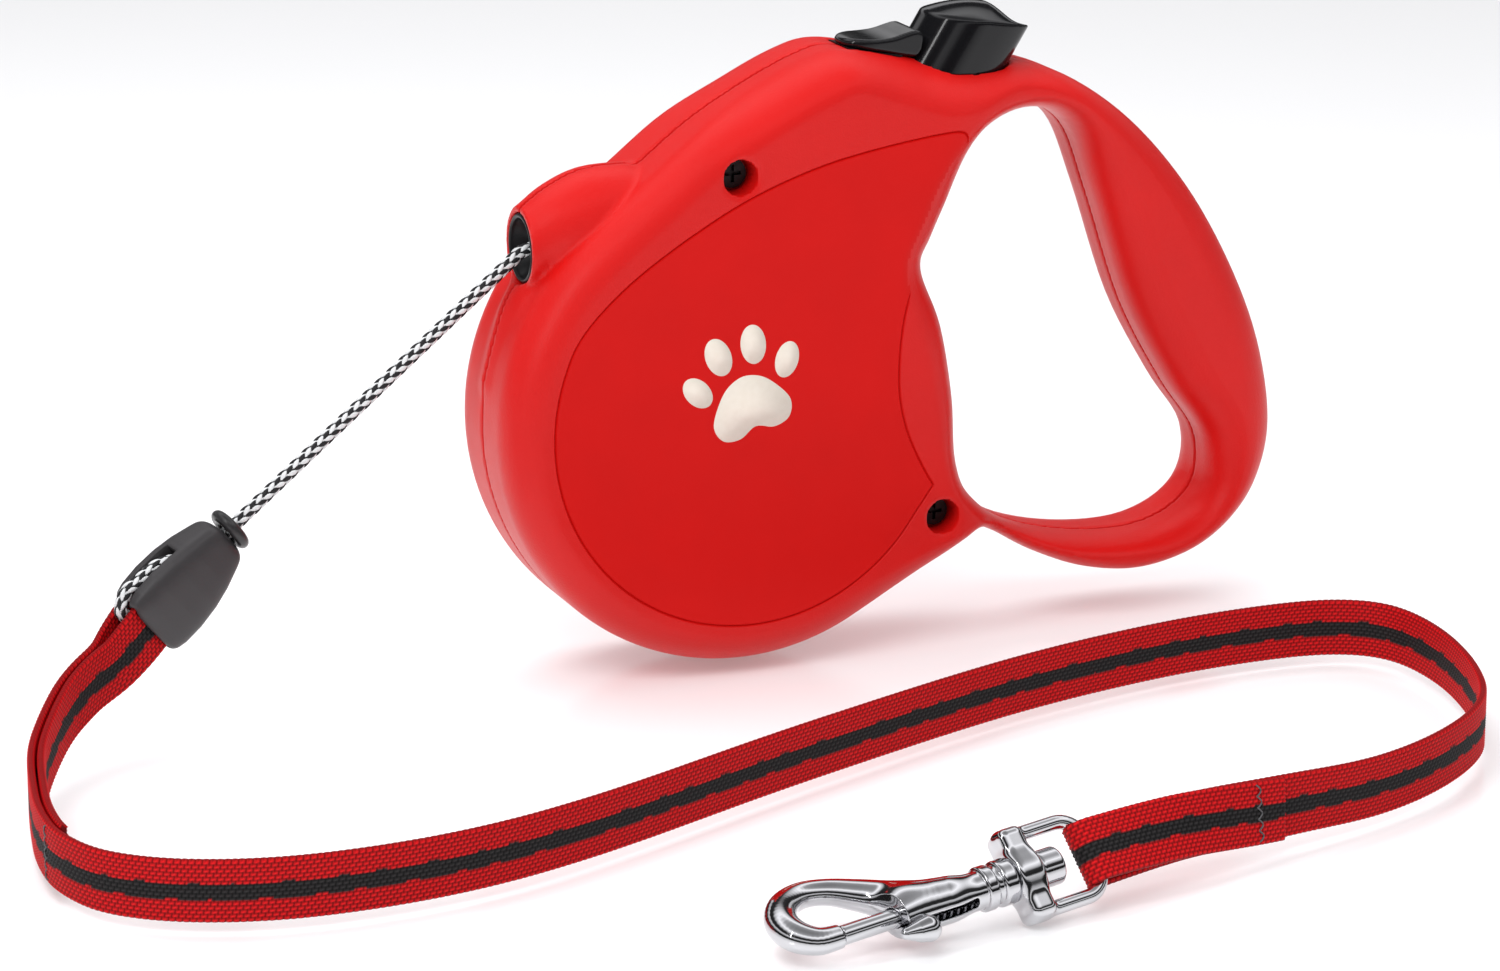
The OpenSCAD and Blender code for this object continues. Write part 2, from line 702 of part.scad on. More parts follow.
module swivel_eye() {
  arm_end = eye_reach - corner_r;
  color(steel) hook_frame(eye_roll) difference() {
    union() {
      translate([0, -eye_half - eye_rod_r, -2.8]) cube([4, 2 * (eye_half + eye_rod_r), 5.6]);
      x_cyl(4.3, 0, block_t);
      for (s = [-1, 1]) {
        translate([0, s * eye_half, 0]) x_cyl(eye_rod_r, 1, arm_end + eps);
      }
      eye_corner(arm_end, eye_half - corner_r, 0);
      eye_corner(arm_end, corner_r - eye_half, -90);
      translate([eye_reach, eye_half - corner_r + eps, 0]) rotate([90, 0, 0])
        cylinder(r = eye_rod_r, h = 2 * (eye_half - corner_r + eps), $fn = 48);
    }
    x_cyl(stem_bore_r + run_gap, -1, block_t + 1);
  }
}

// Middle line of the bow, from the barrel round to the nose that meets the bolt
bow_points = [[-18, 1.4, 0], [-21.4, 4.9, 0], [-24.8, 9, 0], [-28.8, 12.4, 0], [-33.4, 13.8, 0],
              [-37.8, 12.2, 0], [-40.6, 8.2, 0], [-40.8, 3.8, 0], [-38.5, 0.6, 0], [-34.6, 0, 0]];
bolt_travel = 9;
slot_end = -8.5;

module hook_body() {
  color(steel) hook_frame(hook_roll) difference() {
    union() {
      bow = open_curve(bow_points, 3);
      n = len(bow);
      rod(bow, [for (i = [0:n - 1]) bow_rod_r - 0.4 * ramp(n - 7, n - 1, i)], 12);
      x_cyl(barrel_r, -barrel_len, -6.4);
      x_cyl(3.9, -6.4, -4.2);
      x_cyl(3.4, -4.2 - eps, -3.2 + eps);
      x_cyl(4, -3.2, -0.3);
      x_cyl(stem_bore_r, -1, block_t + 0.3);
      x_cyl(3.1, block_t + 0.25, block_t + 4.9);
    }
    x_cyl(bolt_r + run_gap, -barrel_len - 2.5, -7.5);
    translate([-barrel_len - 3, -far, -0.95]) cube([slot_end + barrel_len + 3, far, 1.9]);
  }
}

// Sliding bolt with its thumb knob
module hook_bolt() {
  knob_x = -20.5;
  color(steel) hook_frame(hook_roll) {
    x_cyl(bolt_r, -34.3, -18.5);
    translate([knob_x - 1, -5, -0.85]) cube([2.2, 5, 1.7]);
    translate([knob_x, -5.3, 0]) sphere(r = 2.2, $fn = 48);
    translate([knob_x, -5.3, 0]) rotate([0, -90, 0]) cylinder(r1 = 2.2, r2 = 1.2, h = 3.6, $fn = 48);
  }
}

module bolt_spring() {
  color(steel) hook_frame(hook_roll) translate([-18.4, 0, 0]) rotate([0, 90, 0])
    coil(1.2, 0.3, 10.6, 7, 6);
}

left_shell();
right_shell();
housing_screws();
cord_outlet();
control_guide();
brake_button();
brake_spring();
lock_slide();
spool();
spool_cover();
mainspring();
spring_arbor();
cord_winding();
cord_lead();
cord();
stop_ring();
cord_coupling();
cord_end();
tether_strap();
strap_stitching();
swivel_eye();
hook_body();
hook_bolt();
bolt_spring();
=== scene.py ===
"""Looks of the retractable cord leash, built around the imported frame.

Shapes are worked out in millimetres in the part's own frame: the origin is the spool axis at the
parting plane, +X runs towards the hand grip, +Z is up, and -Y is the side with the screw holes.
Meshes are written in metres.
"""

import math

import bpy
import numpy as np
import openvdb
from mathutils import Matrix, Vector


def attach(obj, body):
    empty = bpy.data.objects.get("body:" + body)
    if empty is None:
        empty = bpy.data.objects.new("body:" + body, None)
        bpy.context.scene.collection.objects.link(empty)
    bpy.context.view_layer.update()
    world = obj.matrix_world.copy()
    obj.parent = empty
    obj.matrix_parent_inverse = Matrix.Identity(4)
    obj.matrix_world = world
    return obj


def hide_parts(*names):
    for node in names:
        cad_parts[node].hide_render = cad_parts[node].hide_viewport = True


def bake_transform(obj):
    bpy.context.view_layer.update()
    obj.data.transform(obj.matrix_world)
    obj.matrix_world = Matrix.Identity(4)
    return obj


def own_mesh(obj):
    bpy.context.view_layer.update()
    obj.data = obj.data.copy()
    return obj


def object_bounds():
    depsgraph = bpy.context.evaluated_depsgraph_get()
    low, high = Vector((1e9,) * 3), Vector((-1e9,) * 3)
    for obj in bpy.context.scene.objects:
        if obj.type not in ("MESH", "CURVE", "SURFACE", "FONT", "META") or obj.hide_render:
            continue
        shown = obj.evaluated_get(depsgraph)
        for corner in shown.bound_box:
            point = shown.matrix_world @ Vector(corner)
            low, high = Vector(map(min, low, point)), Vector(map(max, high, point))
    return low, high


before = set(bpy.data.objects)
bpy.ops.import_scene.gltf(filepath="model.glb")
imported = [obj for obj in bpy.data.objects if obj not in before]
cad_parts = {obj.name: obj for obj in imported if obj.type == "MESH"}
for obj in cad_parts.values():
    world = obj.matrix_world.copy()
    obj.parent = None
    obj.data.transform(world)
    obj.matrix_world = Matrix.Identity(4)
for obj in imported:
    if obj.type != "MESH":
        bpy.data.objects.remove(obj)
cad_lo, cad_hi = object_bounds()
MM = 0.001

# Housing
BODY_R = 49.0
BODY_HALF_T = 17.5
GRIP_HALF_T = 12.8
TAPER_X = (40.0, 62.0)
EDGE_DEPTH = 9.0
RIM_ROUND = 8.0
FACE_TRIM = 0.15
RIM_START, RIM_END = 129.0, 299.5
SCREW_SPOTS = ((-2.4, 48.3), (40.2, -23.0))
SCREW_HOLE_R, SCREW_HEAD_Y = 3.45, -10.5
CAVITY_X = -1.8
CAVITY_R = 44.6
DEEP_CAVITY_R = 41.7
OUTLET = (-40.5, 34.4)
FUNNEL_R = 6.75

# Controls
BRAKE_TILT, BUTTON_MID = 32.0, 7.5
CAP_MID, CAP_HALF_L, CAP_HALF_W = -1.4, 9.3, 9.0
LOCK_AT, LOCK_SLOPE = (22.5, 69.5), 10.3

# Cord and coupling
CORD_R = 1.35
MOUTH = np.array((-38.3, 0.0, 34.2))
CORD_EXIT = np.array((-41.0, 0.0, 33.4))
COUPLING_TOP = np.array((-103.3, -10.0, -12.6))
COUPLING_TURN, COUPLING_DROP, COUPLING_ROLL = 189.9, 40.7, -96.0
COUPLING_LEN = 23.0

# Strap
STRAP_W, STRAP_T = 11.0, 1.5
STRAP_Z = -BODY_R + STRAP_W / 2
LOOP_A = (-120.9, -13.1, -27.6)
LOOP_B = (7.0, -153.2, -41.9)

# Hook
HOOK_TURN, HOOK_RISE, EYE_ROLL, HOOK_ROLL = 10.5, 5.0, 50.0, 11.0
EYE_REACH = 17.0

GRIP_OUTLINE = (
    (37.5, -35, 6), (46.5, -30.2, 4), (50.8, -28.4, 3.4), (56, -30.6, 3.2), (64.5, -35.6, 3.2),
    (75.2, -39.9, 3.2), (87, -41.4, 3.2), (99.2, -38.9, 4), (108.5, -33.3, 6), (114.6, -25, 8),
    (117.1, -13, 9.3), (114.1, 3.8, 9.3), (107.2, 20.5, 9.3), (97.2, 36.9, 8), (84.5, 51, 6),
    (70.8, 60.5, 4.2), (58, 64.6, 5.4), (45, 65.4, 10), (33, 67.6, 9), (22.5, 69.5, 7.5),
    (14.8, 67.9, 8), (4.3, 63.1, 8), (-7.2, 56.5, 8), (-19.8, 46.8, 8),
)
HAND_HOLE = (
    (62, 55, 4), (52, 51, 6), (45, 42.5, 8), (39.6, 32, 8), (37.7, 26, 8), (42, 14.5, 8),
    (44.7, 0, 7.5), (45.5, -13, 6), (49, -21, 4), (60, -29.5, 3.2), (76, -33.9, 3.2),
    (92, -33.8, 4), (102.3, -27.5, 6), (103, -16.3, 8.5), (95, -4.2, 9.3), (85.5, 13, 9.3),
    (77.5, 36, 8.5), (71.5, 50.5, 5),
)
GRIP_HOLLOW = ((109, -12), (106.5, 2), (100, 17.5), (91, 32), (83, 41.5), (85, 33), (91, 15.5),
               (99.5, 1.5), (107, -10))


# ---------- curves ----------

def unit(v):
    v = np.asarray(v, float)
    return v / np.linalg.norm(v)


def ramp(a, b, x):
    t = np.clip((x - a) / (b - a), 0, 1)
    return t * t * (3 - 2 * t)


def blend4(a, b, c, d, t):
    return 0.5 * (2 * b + (c - a) * t + (2 * a - 5 * b + 4 * c - d) * t**2
                  + (3 * b - a - 3 * c + d) * t**3)


def open_curve(points, k):
    """Smooth curve through the points, k steps for each span."""
    p = np.asarray(points, float)
    n = len(p)
    out = []
    for i in range(n - 1):
        four = [p[min(max(i + o, 0), n - 1)] for o in (-1, 0, 1, 2)]
        out += [blend4(*four, j / k) for j in range(k)]
    return np.array(out + [p[-1]])


def closed_curve(points, k):
    p = np.asarray(points, float)
    n = len(p)
    return np.array([blend4(p[i - 1], p[i], p[(i + 1) % n], p[(i + 2) % n], j / k)
                     for i in range(n) for j in range(k)])


def resample(path, step):
    """The path's points at even distances, and their distance from its start."""
    length = np.concatenate([[0], np.cumsum(np.linalg.norm(np.diff(path[:, :3], axis=0), axis=1))])
    count = max(2, int(round(length[-1] / step)) + 1)
    s = np.linspace(0, length[-1], count)
    return np.stack([np.interp(s, length, path[:, i]) for i in range(path.shape[1])], 1), s


def headings(path):
    ahead = np.empty_like(path)
    ahead[1:-1] = path[2:] - path[:-2]
    ahead[0] = path[1] - path[0]
    ahead[-1] = path[-1] - path[-2]
    return ahead / np.linalg.norm(ahead, axis=1)[:, None]


def carried_frames(path, start):
    """Two directions across the path at each point, carried along without twist."""
    t = headings(path)
    u = unit(start - (start @ t[0]) * t[0])
    across = []
    for d in t:
        u = unit(u - (u @ d) * d)
        across.append(u)
    across = np.array(across)
    return across, np.cross(t, across)


# ---------- meshes ----------

def add_object(name, mesh):
    obj = bpy.data.objects.new(name, mesh)
    bpy.context.scene.collection.objects.link(obj)
    mesh.shade_smooth()
    return obj


def piece_from_quads(name, verts, quads):
    """Object from vertices in millimetres and an array of four-sided faces."""
    mesh = bpy.data.meshes.new(name)
    mesh.vertices.add(len(verts))
    mesh.vertices.foreach_set("co", (np.asarray(verts) * MM).astype(np.float32).ravel())
    mesh.loops.add(quads.size)
    mesh.loops.foreach_set("vertex_index", quads.astype(np.int32).ravel())
    mesh.polygons.add(len(quads))
    mesh.polygons.foreach_set("loop_start", np.arange(0, quads.size, 4, dtype=np.int32))
    mesh.update(calc_edges=True)
    mesh.validate()
    return add_object(name, mesh)


def piece_from_faces(name, verts, faces):
    mesh = bpy.data.meshes.new(name)
    mesh.from_pydata((np.asarray(verts) * MM).tolist(), [], faces)
    mesh.update()
    return add_object(name, mesh)


def tube_faces(rings, ring_n, first=0, closed_ends=True):
    """Faces of a closed tube whose rings follow each other in the vertex list."""
    k, i = np.meshgrid(np.arange(rings - 1), np.arange(ring_n), indexing="ij")
    a = first + k * ring_n + i
    b = first + k * ring_n + (i + 1) % ring_n
    faces = np.stack([a, b, b + ring_n, a + ring_n], -1).reshape(-1, 4).tolist()
    if closed_ends:
        faces.append([first + i for i in range(ring_n - 1, -1, -1)])
        faces.append([first + (rings - 1) * ring_n + i for i in range(ring_n)])
    return faces


def join(name, parts):
    """One object from several (vertices, faces) solids."""
    verts, faces, first = [], [], 0
    for v, f in parts:
        verts.append(v)
        faces += [[i + first for i in face] for face in f]
        first += len(v)
    return piece_from_faces(name, np.concatenate(verts), faces)


def tube(path, radius, sides):
    """Round tube along a path, as (vertices, faces)."""
    u, w = carried_frames(path, np.array((0.13, 0.31, 0.94)))
    a = np.arange(sides) * 2 * math.pi / sides
    rings = path[:, None] + radius * (np.cos(a)[None, :, None] * u[:, None]
                                      + np.sin(a)[None, :, None] * w[:, None])
    return rings.reshape(-1, 3), tube_faces(len(path), sides)


def lathe(profile, sides):
    """Solid of revolution of a closed (along, radius) profile about the first axis."""
    profile = np.asarray(profile, float)
    n = len(profile)
    a = np.arange(sides) * 2 * math.pi / sides
    rings = np.stack([np.repeat(profile[None, :, 0], sides, 0),
                      np.cos(a)[:, None] * profile[None, :, 1],
                      np.sin(a)[:, None] * profile[None, :, 1]], -1)
    faces = [[j * n + i, j * n + (i + 1) % n, (j + 1) % sides * n + (i + 1) % n,
              (j + 1) % sides * n + i] for j in range(sides) for i in range(n)]
    return rings.reshape(-1, 3), faces


def apply_modifiers(obj):
    bpy.context.view_layer.update()
    graph = bpy.context.evaluated_depsgraph_get()
    mesh = bpy.data.meshes.new_from_object(obj.evaluated_get(graph), depsgraph=graph)
    obj.modifiers.clear()
    obj.data = mesh
    return obj


def cut(obj, cutter):
    """Takes the cutter's solid out of obj and deletes the cutter."""
    knife = obj.modifiers.new("cut", "BOOLEAN")
    knife.object = cutter
    knife.operation = "DIFFERENCE"
    knife.solver = "EXACT"
    apply_modifiers(obj)
    bpy.data.objects.remove(cutter)


def placed(points, matrix):
    m = np.array(matrix)
    return np.asarray(points) @ m[:3, :3].T + m[:3, 3]


# ---------- solids as distance fields: below zero is inside, in millimetres ----------

def grid_axes(lo, hi, step):
    axes = [np.arange(a, b + step, step, dtype=np.float32) for a, b in zip(lo, hi)]
    return np.meshgrid(*axes, indexing="ij", sparse=True)


def union(first, *others):
    for field in others:
        first = np.minimum(first, field)
    return first


def blend_union(a, b, k):
    """Union with a fillet of about k."""
    h = np.clip(k - np.abs(a - b), 0, None) / k
    return np.minimum(a, b) - h * h * k / 4


def blend_cut(a, b, k):
    """Solid a without solid b, with a rounded edge of about k."""
    return -blend_union(-a, b, k)


def cylinder_field(along, radius, r, a0, a1, edge=0.0):
    """Cylinder between a0 and a1, from arrays of the place along its axis and off its axis."""
    p = radius - (r - edge)
    q = np.abs(along - (a0 + a1) / 2) - ((a1 - a0) / 2 - edge)
    outside = np.hypot(np.maximum(p, 0), np.maximum(q, 0))
    return outside + np.minimum(np.maximum(p, q), 0) - edge


def box_field(x, y, z, lo, hi, edge=0.0):
    q = [np.abs(v - (a + b) / 2) - ((b - a) / 2 - edge) for v, a, b in zip((x, y, z), lo, hi)]
    outside = np.sqrt(sum(np.maximum(v, 0) ** 2 for v in q))
    return outside + np.minimum(np.maximum(np.maximum(q[0], q[1]), q[2]), 0) - edge


def outline_distance(points, px, py):
    """Distance inside a closed outline, and its third value at the nearest point."""
    shape = np.broadcast(px, py).shape
    best = np.full(shape, 1e9, np.float32)
    value = np.zeros(shape, np.float32)
    inside = np.zeros(shape, bool)
    for a, b in zip(points, np.roll(points, -1, axis=0)):
        dx, dy = b[0] - a[0], b[1] - a[1]
        t = np.clip(((px - a[0]) * dx + (py - a[1]) * dy) / (dx * dx + dy * dy), 0, 1)
        dist = np.hypot(px - a[0] - t * dx, py - a[1] - t * dy)
        closer = dist < best
        best = np.where(closer, dist, best)
        if len(a) > 2:
            value = np.where(closer, a[2] + t * (b[2] - a[2]), value)
        if a[1] != b[1]:
            inside ^= ((a[1] > py) != (b[1] > py)) & (px < dx * (py - a[1]) / dy + a[0])
    return np.where(inside, best, -best), value


def path_distance(points, px, py):
    """Distance to an open path in its plane, and the path's own radius at the nearest point."""
    shape = np.broadcast(px, py).shape
    best = np.full(shape, 1e9, np.float32)
    radius = np.zeros(shape, np.float32)
    for a, b in zip(points[:-1], points[1:]):
        dx, dy = b[0] - a[0], b[1] - a[1]
        t = np.clip(((px - a[0]) * dx + (py - a[1]) * dy) / (dx * dx + dy * dy), 0, 1)
        dist = np.hypot(px - a[0] - t * dx, py - a[1] - t * dy)
        closer = dist < best
        best = np.where(closer, dist, best)
        radius = np.where(closer, a[2] + t * (b[2] - a[2]), radius)
    return best, radius


def piece_from_field(name, field, lo, step, place=None, mirror_y=False):
    """Smooth closed mesh of the field's zero surface."""
    reach = 3 * step
    volume = openvdb.FloatGrid(background=reach)
    volume.copyFromArray(np.clip(field, -reach, reach).astype(np.float32))
    points, _, quads = volume.convertToPolygons(isovalue=0.0, adaptivity=0.0)
    points = np.asarray(lo) + points * step
    quads = quads.astype(np.int64)
    if mirror_y:
        points[:, 1] *= -1
        quads = quads[:, ::-1]
    if place is not None:
        points = placed(points, place)
    return piece_from_quads(name, points, quads)


# ---------- housing ----------

def half_thickness(x):
    return GRIP_HALF_T + (BODY_HALF_T - GRIP_HALF_T) * (1 - ramp(*TAPER_X, x))


def on_rim(angle):
    a = math.radians(angle)
    return (BODY_R * math.cos(a), BODY_R * math.sin(a), RIM_ROUND)


def housing_outline():
    """Side-view outline: the round body as an arc, the rest as a smooth curve."""
    arc = [on_rim(a) for a in np.linspace(RIM_START, RIM_END, 120, endpoint=False)]
    ends = [on_rim(RIM_END - 7), on_rim(RIM_END)]
    tail = [on_rim(RIM_START), on_rim(RIM_START + 7)]
    k = 6
    flank = open_curve([*ends, *GRIP_OUTLINE, *tail], k)[k:-k]
    return np.array([*arc, *flank[:-1]])


def rounded_slab(x, y, z):
    """The housing's outer form, with its rounded edges and its taper towards the grip."""
    rim, rim_r = outline_distance(housing_outline(), x, z)
    hole, hole_r = outline_distance(closed_curve(HAND_HOLE, 6), x, z)
    u = np.clip(1 - rim / rim_r, 0, None)
    h = np.clip(1 + hole / hole_r, 0, None)
    t = half_thickness(x)
    top = ramp(38, 56, z) * ramp(-12, 6, x) * (1 - ramp(48, 62, x))
    depth = EDGE_DEPTH + top * (4 + 5 * ramp(28, 40, x))
    v = np.clip((np.abs(y) - (t - depth)) / depth, 0, None)
    q = np.sqrt(u * u + h * h + v * v) + 1e-6
    slope = np.sqrt((u / rim_r) ** 2 + (h / hole_r) ** 2 + (v / depth) ** 2 + 1e-6) / q
    solid = np.maximum((q - 1) / slope, -EDGE_DEPTH)
    return np.maximum(solid, np.abs(y) - (t - FACE_TRIM))


def outlet_pod(x, y, z):
    """Bulb round the cord outlet, with a spine that fades out down the rim."""
    axis = open_curve([(-38.6, 34.5, 7.8), (-35.5, 35.8, 8.8), (-31.5, 37.4, 9.7),
                       (-26.5, 38.9, 10.2), (-21, 39.4, 10.0)], 4)
    d, r = path_distance(axis, x, z)
    bulb = np.hypot(d, y) - r
    nose = cylinder_field(x, np.hypot(y, z - OUTLET[1]), FUNNEL_R + 0.75, OUTLET[0] - 0.6, -32.0, 0.8)
    bulb = np.maximum(blend_union(bulb, nose, 1.5), OUTLET[0] - 0.5 - x)
    spine_path = open_curve([(-35.5, 28, 5.4), (-38.6, 20.5, 6.6), (-42.4, 8, 6.2)], 6)
    d, r = path_distance(spine_path, x, z)
    return blend_union(bulb, np.hypot(d, y) - r, 2.0)


def brake_coordinates(x, z):
    a = math.radians(BRAKE_TILT)
    return x * math.cos(a) - z * math.sin(a) - BUTTON_MID, x * math.sin(a) + z * math.cos(a)


def lock_coordinates(x, z):
    a = math.radians(LOCK_SLOPE)
    dx, dz = x - LOCK_AT[0], z - LOCK_AT[1]
    return dx * math.cos(a) - dz * math.sin(a), dx * math.sin(a) + dz * math.cos(a)


def button_radius(x, y):
    """1 on the button's outline: round at the front, nearly square at the rear."""
    s, w = (x - CAP_MID) / CAP_HALF_L, np.abs(y) / CAP_HALF_W
    power = np.where(s > 0, 4.5, 2.1)
    return (np.abs(s) ** power + w ** power) ** (1 / power)


def button_plan(x, y):
    return (button_radius(x, y) - 1) * CAP_HALF_W


def controls_room(x, y, z):
    """Room for the brake button, its spring and leg, and the lock with its guide."""
    bx, bz = brake_coordinates(x, z)
    off = np.hypot(bx, y)
    well = np.maximum(button_plan(bx, y) - 0.25, 68.7 - bz)
    spring = cylinder_field(bz, off, 5.8, 59.6, 72)
    stem = cylinder_field(bz, off, 4.1, 40, 70)
    leg = box_field(bx, y, bz, (-1.7, -8.9, 40), (1.7, 0.1, 53))
    lx, lz = lock_coordinates(x, z)
    guide = box_field(lx, y, lz, (2.3, -5.5, -3), (13, 5.5, 9))
    runway = box_field(lx, y, lz, (-2.3, -6.2, -0.15), (17.9, 6.2, 9))
    foot = box_field(lx, y, lz, (1.8, -5, -5.4), (12.4, 5, -2.4))
    return union(well, spring, stem, leg, guide, runway, foot)


def reel_room(x, y, z):
    """The reel's cavity, the hollow of the grip, and the hub bosses that hold the arbor."""
    off = np.hypot(x - CAVITY_X, z)
    cavity = union(cylinder_field(y, off, CAVITY_R, -9.3, 5),
                   cylinder_field(y, off, DEEP_CAVITY_R, -15.2, 5))
    off = np.hypot(x, z)
    boss = cylinder_field(y, off, 7.5, -16, -8.4)
    socket = cylinder_field(y, off, 4.1, -14.9, 5)
    hollow, _ = outline_distance(np.array(GRIP_HOLLOW, float), x, z)
    return union(np.maximum(cavity, -boss), socket, np.maximum(-hollow, -10.5 - y))


def housing_half(name, step, screws_from_outside):
    """One half of the housing, built on the -Y side; the other half is mirrored."""
    lo, hi = (-50.4, -18.6, -50.4), (118.8, 0.9, 71.4)
    x, y, z = grid_axes(lo, hi, step)
    soft_edge, shank_r, pilot_r = 0.5, 1.7, 1.6
    solid = blend_union(rounded_slab(x, y, z), outlet_pod(x, y, z), 1.0)
    solid = blend_cut(solid, controls_room(x, y, z), soft_edge)
    mouth = cylinder_field(x, np.hypot(y, z - OUTLET[1]), FUNNEL_R + 0.05, -46, -27.8)
    solid = blend_cut(solid, mouth, soft_edge)
    solid = np.maximum(solid, -reel_room(x, y, z))
    for sx, sz in SCREW_SPOTS:
        off = np.hypot(x - sx, z - sz)
        if screws_from_outside:
            hole = cylinder_field(y, off, SCREW_HOLE_R, -30, SCREW_HEAD_Y)
            solid = blend_cut(solid, hole, soft_edge)
            solid = np.maximum(solid, -cylinder_field(y, off, shank_r, -30, 5))
        else:
            solid = np.maximum(solid, -cylinder_field(y, off, pilot_r, SCREW_HEAD_Y, 5))
    seam, chamfer = -0.03, 0.32
    solid = np.maximum(solid, y - seam)
    solid = np.maximum(solid, (solid + y - seam + chamfer) * math.sqrt(0.5))
    return piece_from_field(name, solid, lo, step, mirror_y=not screws_from_outside)


def panel_outline():
    """Closed line of the groove round the side panel, with a sharp lower right corner."""
    r = 40.3
    arc = [(r * math.cos(a), r * math.sin(a)) for a in np.radians(np.arange(-32, -209, -8))]
    top = [(-31.6, 23.8), (-25.3, 29.4), (-18.3, 34.3), (-10.8, 38.8), (-2.5, 43.2), (6.1, 46.7),
           (14.7, 49.4), (22.5, 51.1), (30.3, 52.4), (38, 53.4), (43.2, 53.7), (45, 52.6),
           (44.4, 50), (40.1, 42.5), (35.7, 31.6), (32.1, 20.6), (30.7, 12), (30.6, 3),
           (32.2, -4.5), (35, -11)]
    corner = (37.9, -16.2)
    line, _ = resample(open_curve([corner, *arc, *top, corner], 6), 0.45)
    for _ in range(12):
        line[1:-1] = (line[:-2] + 2 * line[1:-1] + line[2:]) / 4
    return line[:-1:2]


def groove_cutter(side):
    """Ring with a V section that scores the panel line into a side face."""
    half_w, depth, proud = 0.3, 0.42, 0.25
    path = panel_outline()
    ahead = np.roll(path, -1, 0) - np.roll(path, 1, 0)
    ahead /= np.linalg.norm(ahead, axis=1)[:, None]
    normal = np.stack([-ahead[:, 1], ahead[:, 0]], 1)
    face_y = half_thickness(path[:, 0]) - FACE_TRIM
    ring = []
    for off, rise in ((-half_w * 1.6, proud), (half_w * 1.6, proud), (0, -depth)):
        p = path + normal * off
        ring.append(np.stack([p[:, 0], side * (face_y + rise), p[:, 1]], 1))
    verts = np.stack(ring, 1).reshape(-1, 3)
    n = len(path)
    faces = [[k * 3 + i, k * 3 + (i + 1) % 3, (k + 1) % n * 3 + (i + 1) % 3, (k + 1) % n * 3 + i]
             for k in range(n) for i in range(3)]
    cutter = piece_from_faces("groove_cutter", verts, faces)
    mesh = cutter.data
    mesh.calc_loop_triangles()
    volume = sum(Vector(mesh.vertices[t.vertices[0]].co).dot(
        Vector(mesh.vertices[t.vertices[1]].co).cross(mesh.vertices[t.vertices[2]].co))
        for t in mesh.loop_triangles)
    if volume < 0:
        mesh.flip_normals()
    return cutter


def mark_panel(obj, side):
    """Gives the faces inside the panel line the panel's own material."""
    mesh = obj.data
    n = len(mesh.polygons)
    centre = np.empty(n * 3, np.float32)
    mesh.polygons.foreach_get("center", centre)
    centre = centre.reshape(-1, 3) / MM
    inside, _ = outline_distance(panel_outline(), centre[:, 0], centre[:, 2])
    on_face = side * centre[:, 1] > half_thickness(centre[:, 0]) - FACE_TRIM - 0.3
    mesh.polygons.foreach_set("material_index", ((inside > -0.1) & on_face).astype(np.int32))


# ---------- emblem ----------

def ellipse(cx, cy, rx, ry, turn, n=40):
    a = np.arange(n) * 2 * math.pi / n
    p = np.stack([rx * np.cos(a), ry * np.sin(a)], 1)
    c, s = math.cos(math.radians(turn)), math.sin(math.radians(turn))
    return np.stack([cx + c * p[:, 0] - s * p[:, 1], cy + s * p[:, 0] + c * p[:, 1]], 1)


def paw_print():
    """A generic paw print, printed on the side panel."""
    pad = [(0, -5.6), (3.6, -7), (7, -6.2), (8.2, -3), (6.4, 0.6), (3.6, 3.6), (0, 4.8)]
    pad += [(-x, y) for x, y in pad[-2:0:-1]]
    shapes = [closed_curve(pad, 6)]
    for s in (-1, 1):
        shapes.append(ellipse(s * 3.7, 10.2, 2.6, 3.9, -s * 8))
        shapes.append(ellipse(s * 9.5, 4.9, 2.4, 3.6, -s * 30))
    turn = math.radians(15)
    solids = []
    for shape in shapes:
        x = -1 + shape[:, 0] * math.cos(turn) - shape[:, 1] * math.sin(turn)
        z = 5 + shape[:, 0] * math.sin(turn) + shape[:, 1] * math.cos(turn)
        face = BODY_HALF_T - FACE_TRIM
        rings = [np.stack([x, np.full(len(x), -face - up), z], 1) for up in (-0.1, 0.04)]
        solids.append((np.concatenate(rings), tube_faces(2, len(x))))
    return join("paw_emblem", solids)


# ---------- controls ----------

def brake_matrix():
    return Matrix.Rotation(math.radians(BRAKE_TILT), 4, "Y") @ Matrix.Translation((BUTTON_MID, 0, 0))


def thumb_button():
    """Brake button: slanted prism with a crisp rim and a crowned top that dips towards the rear."""
    step = 0.3
    lo, hi = (-12, -10.2, 40.2), (9.6, 10.2, 97.5)
    x, y, z = grid_axes(lo, hi, step)
    e = button_radius(x, y)
    crown = 3.2 * np.clip(1 - e * e, 0, 1) * (1 - ramp(-1, 7, x))
    scoop = 0.8 * ramp(2, 7.5, x) * (1 - (y / CAP_HALF_W) ** 2)
    top = 93.4 + 0.445 * (x - 6.8) + crown - scoop
    cap = blend_cut(np.maximum(button_plan(x, y), 72.5 - z), -(z - top) * 0.91, 0.5)
    stem = cylinder_field(z, np.hypot(x, y), 4, 50, 74)
    leg = box_field(x, y, z, (-1.5, -8.5, 50), (1.5, 0, 52.6))
    tip = box_field(x, y, z, (-1.5, -8.5, 41.73), (1.5, -6.2, 52))
    return piece_from_field("thumb_button", union(cap, stem, leg, tip), lo, step, brake_matrix())


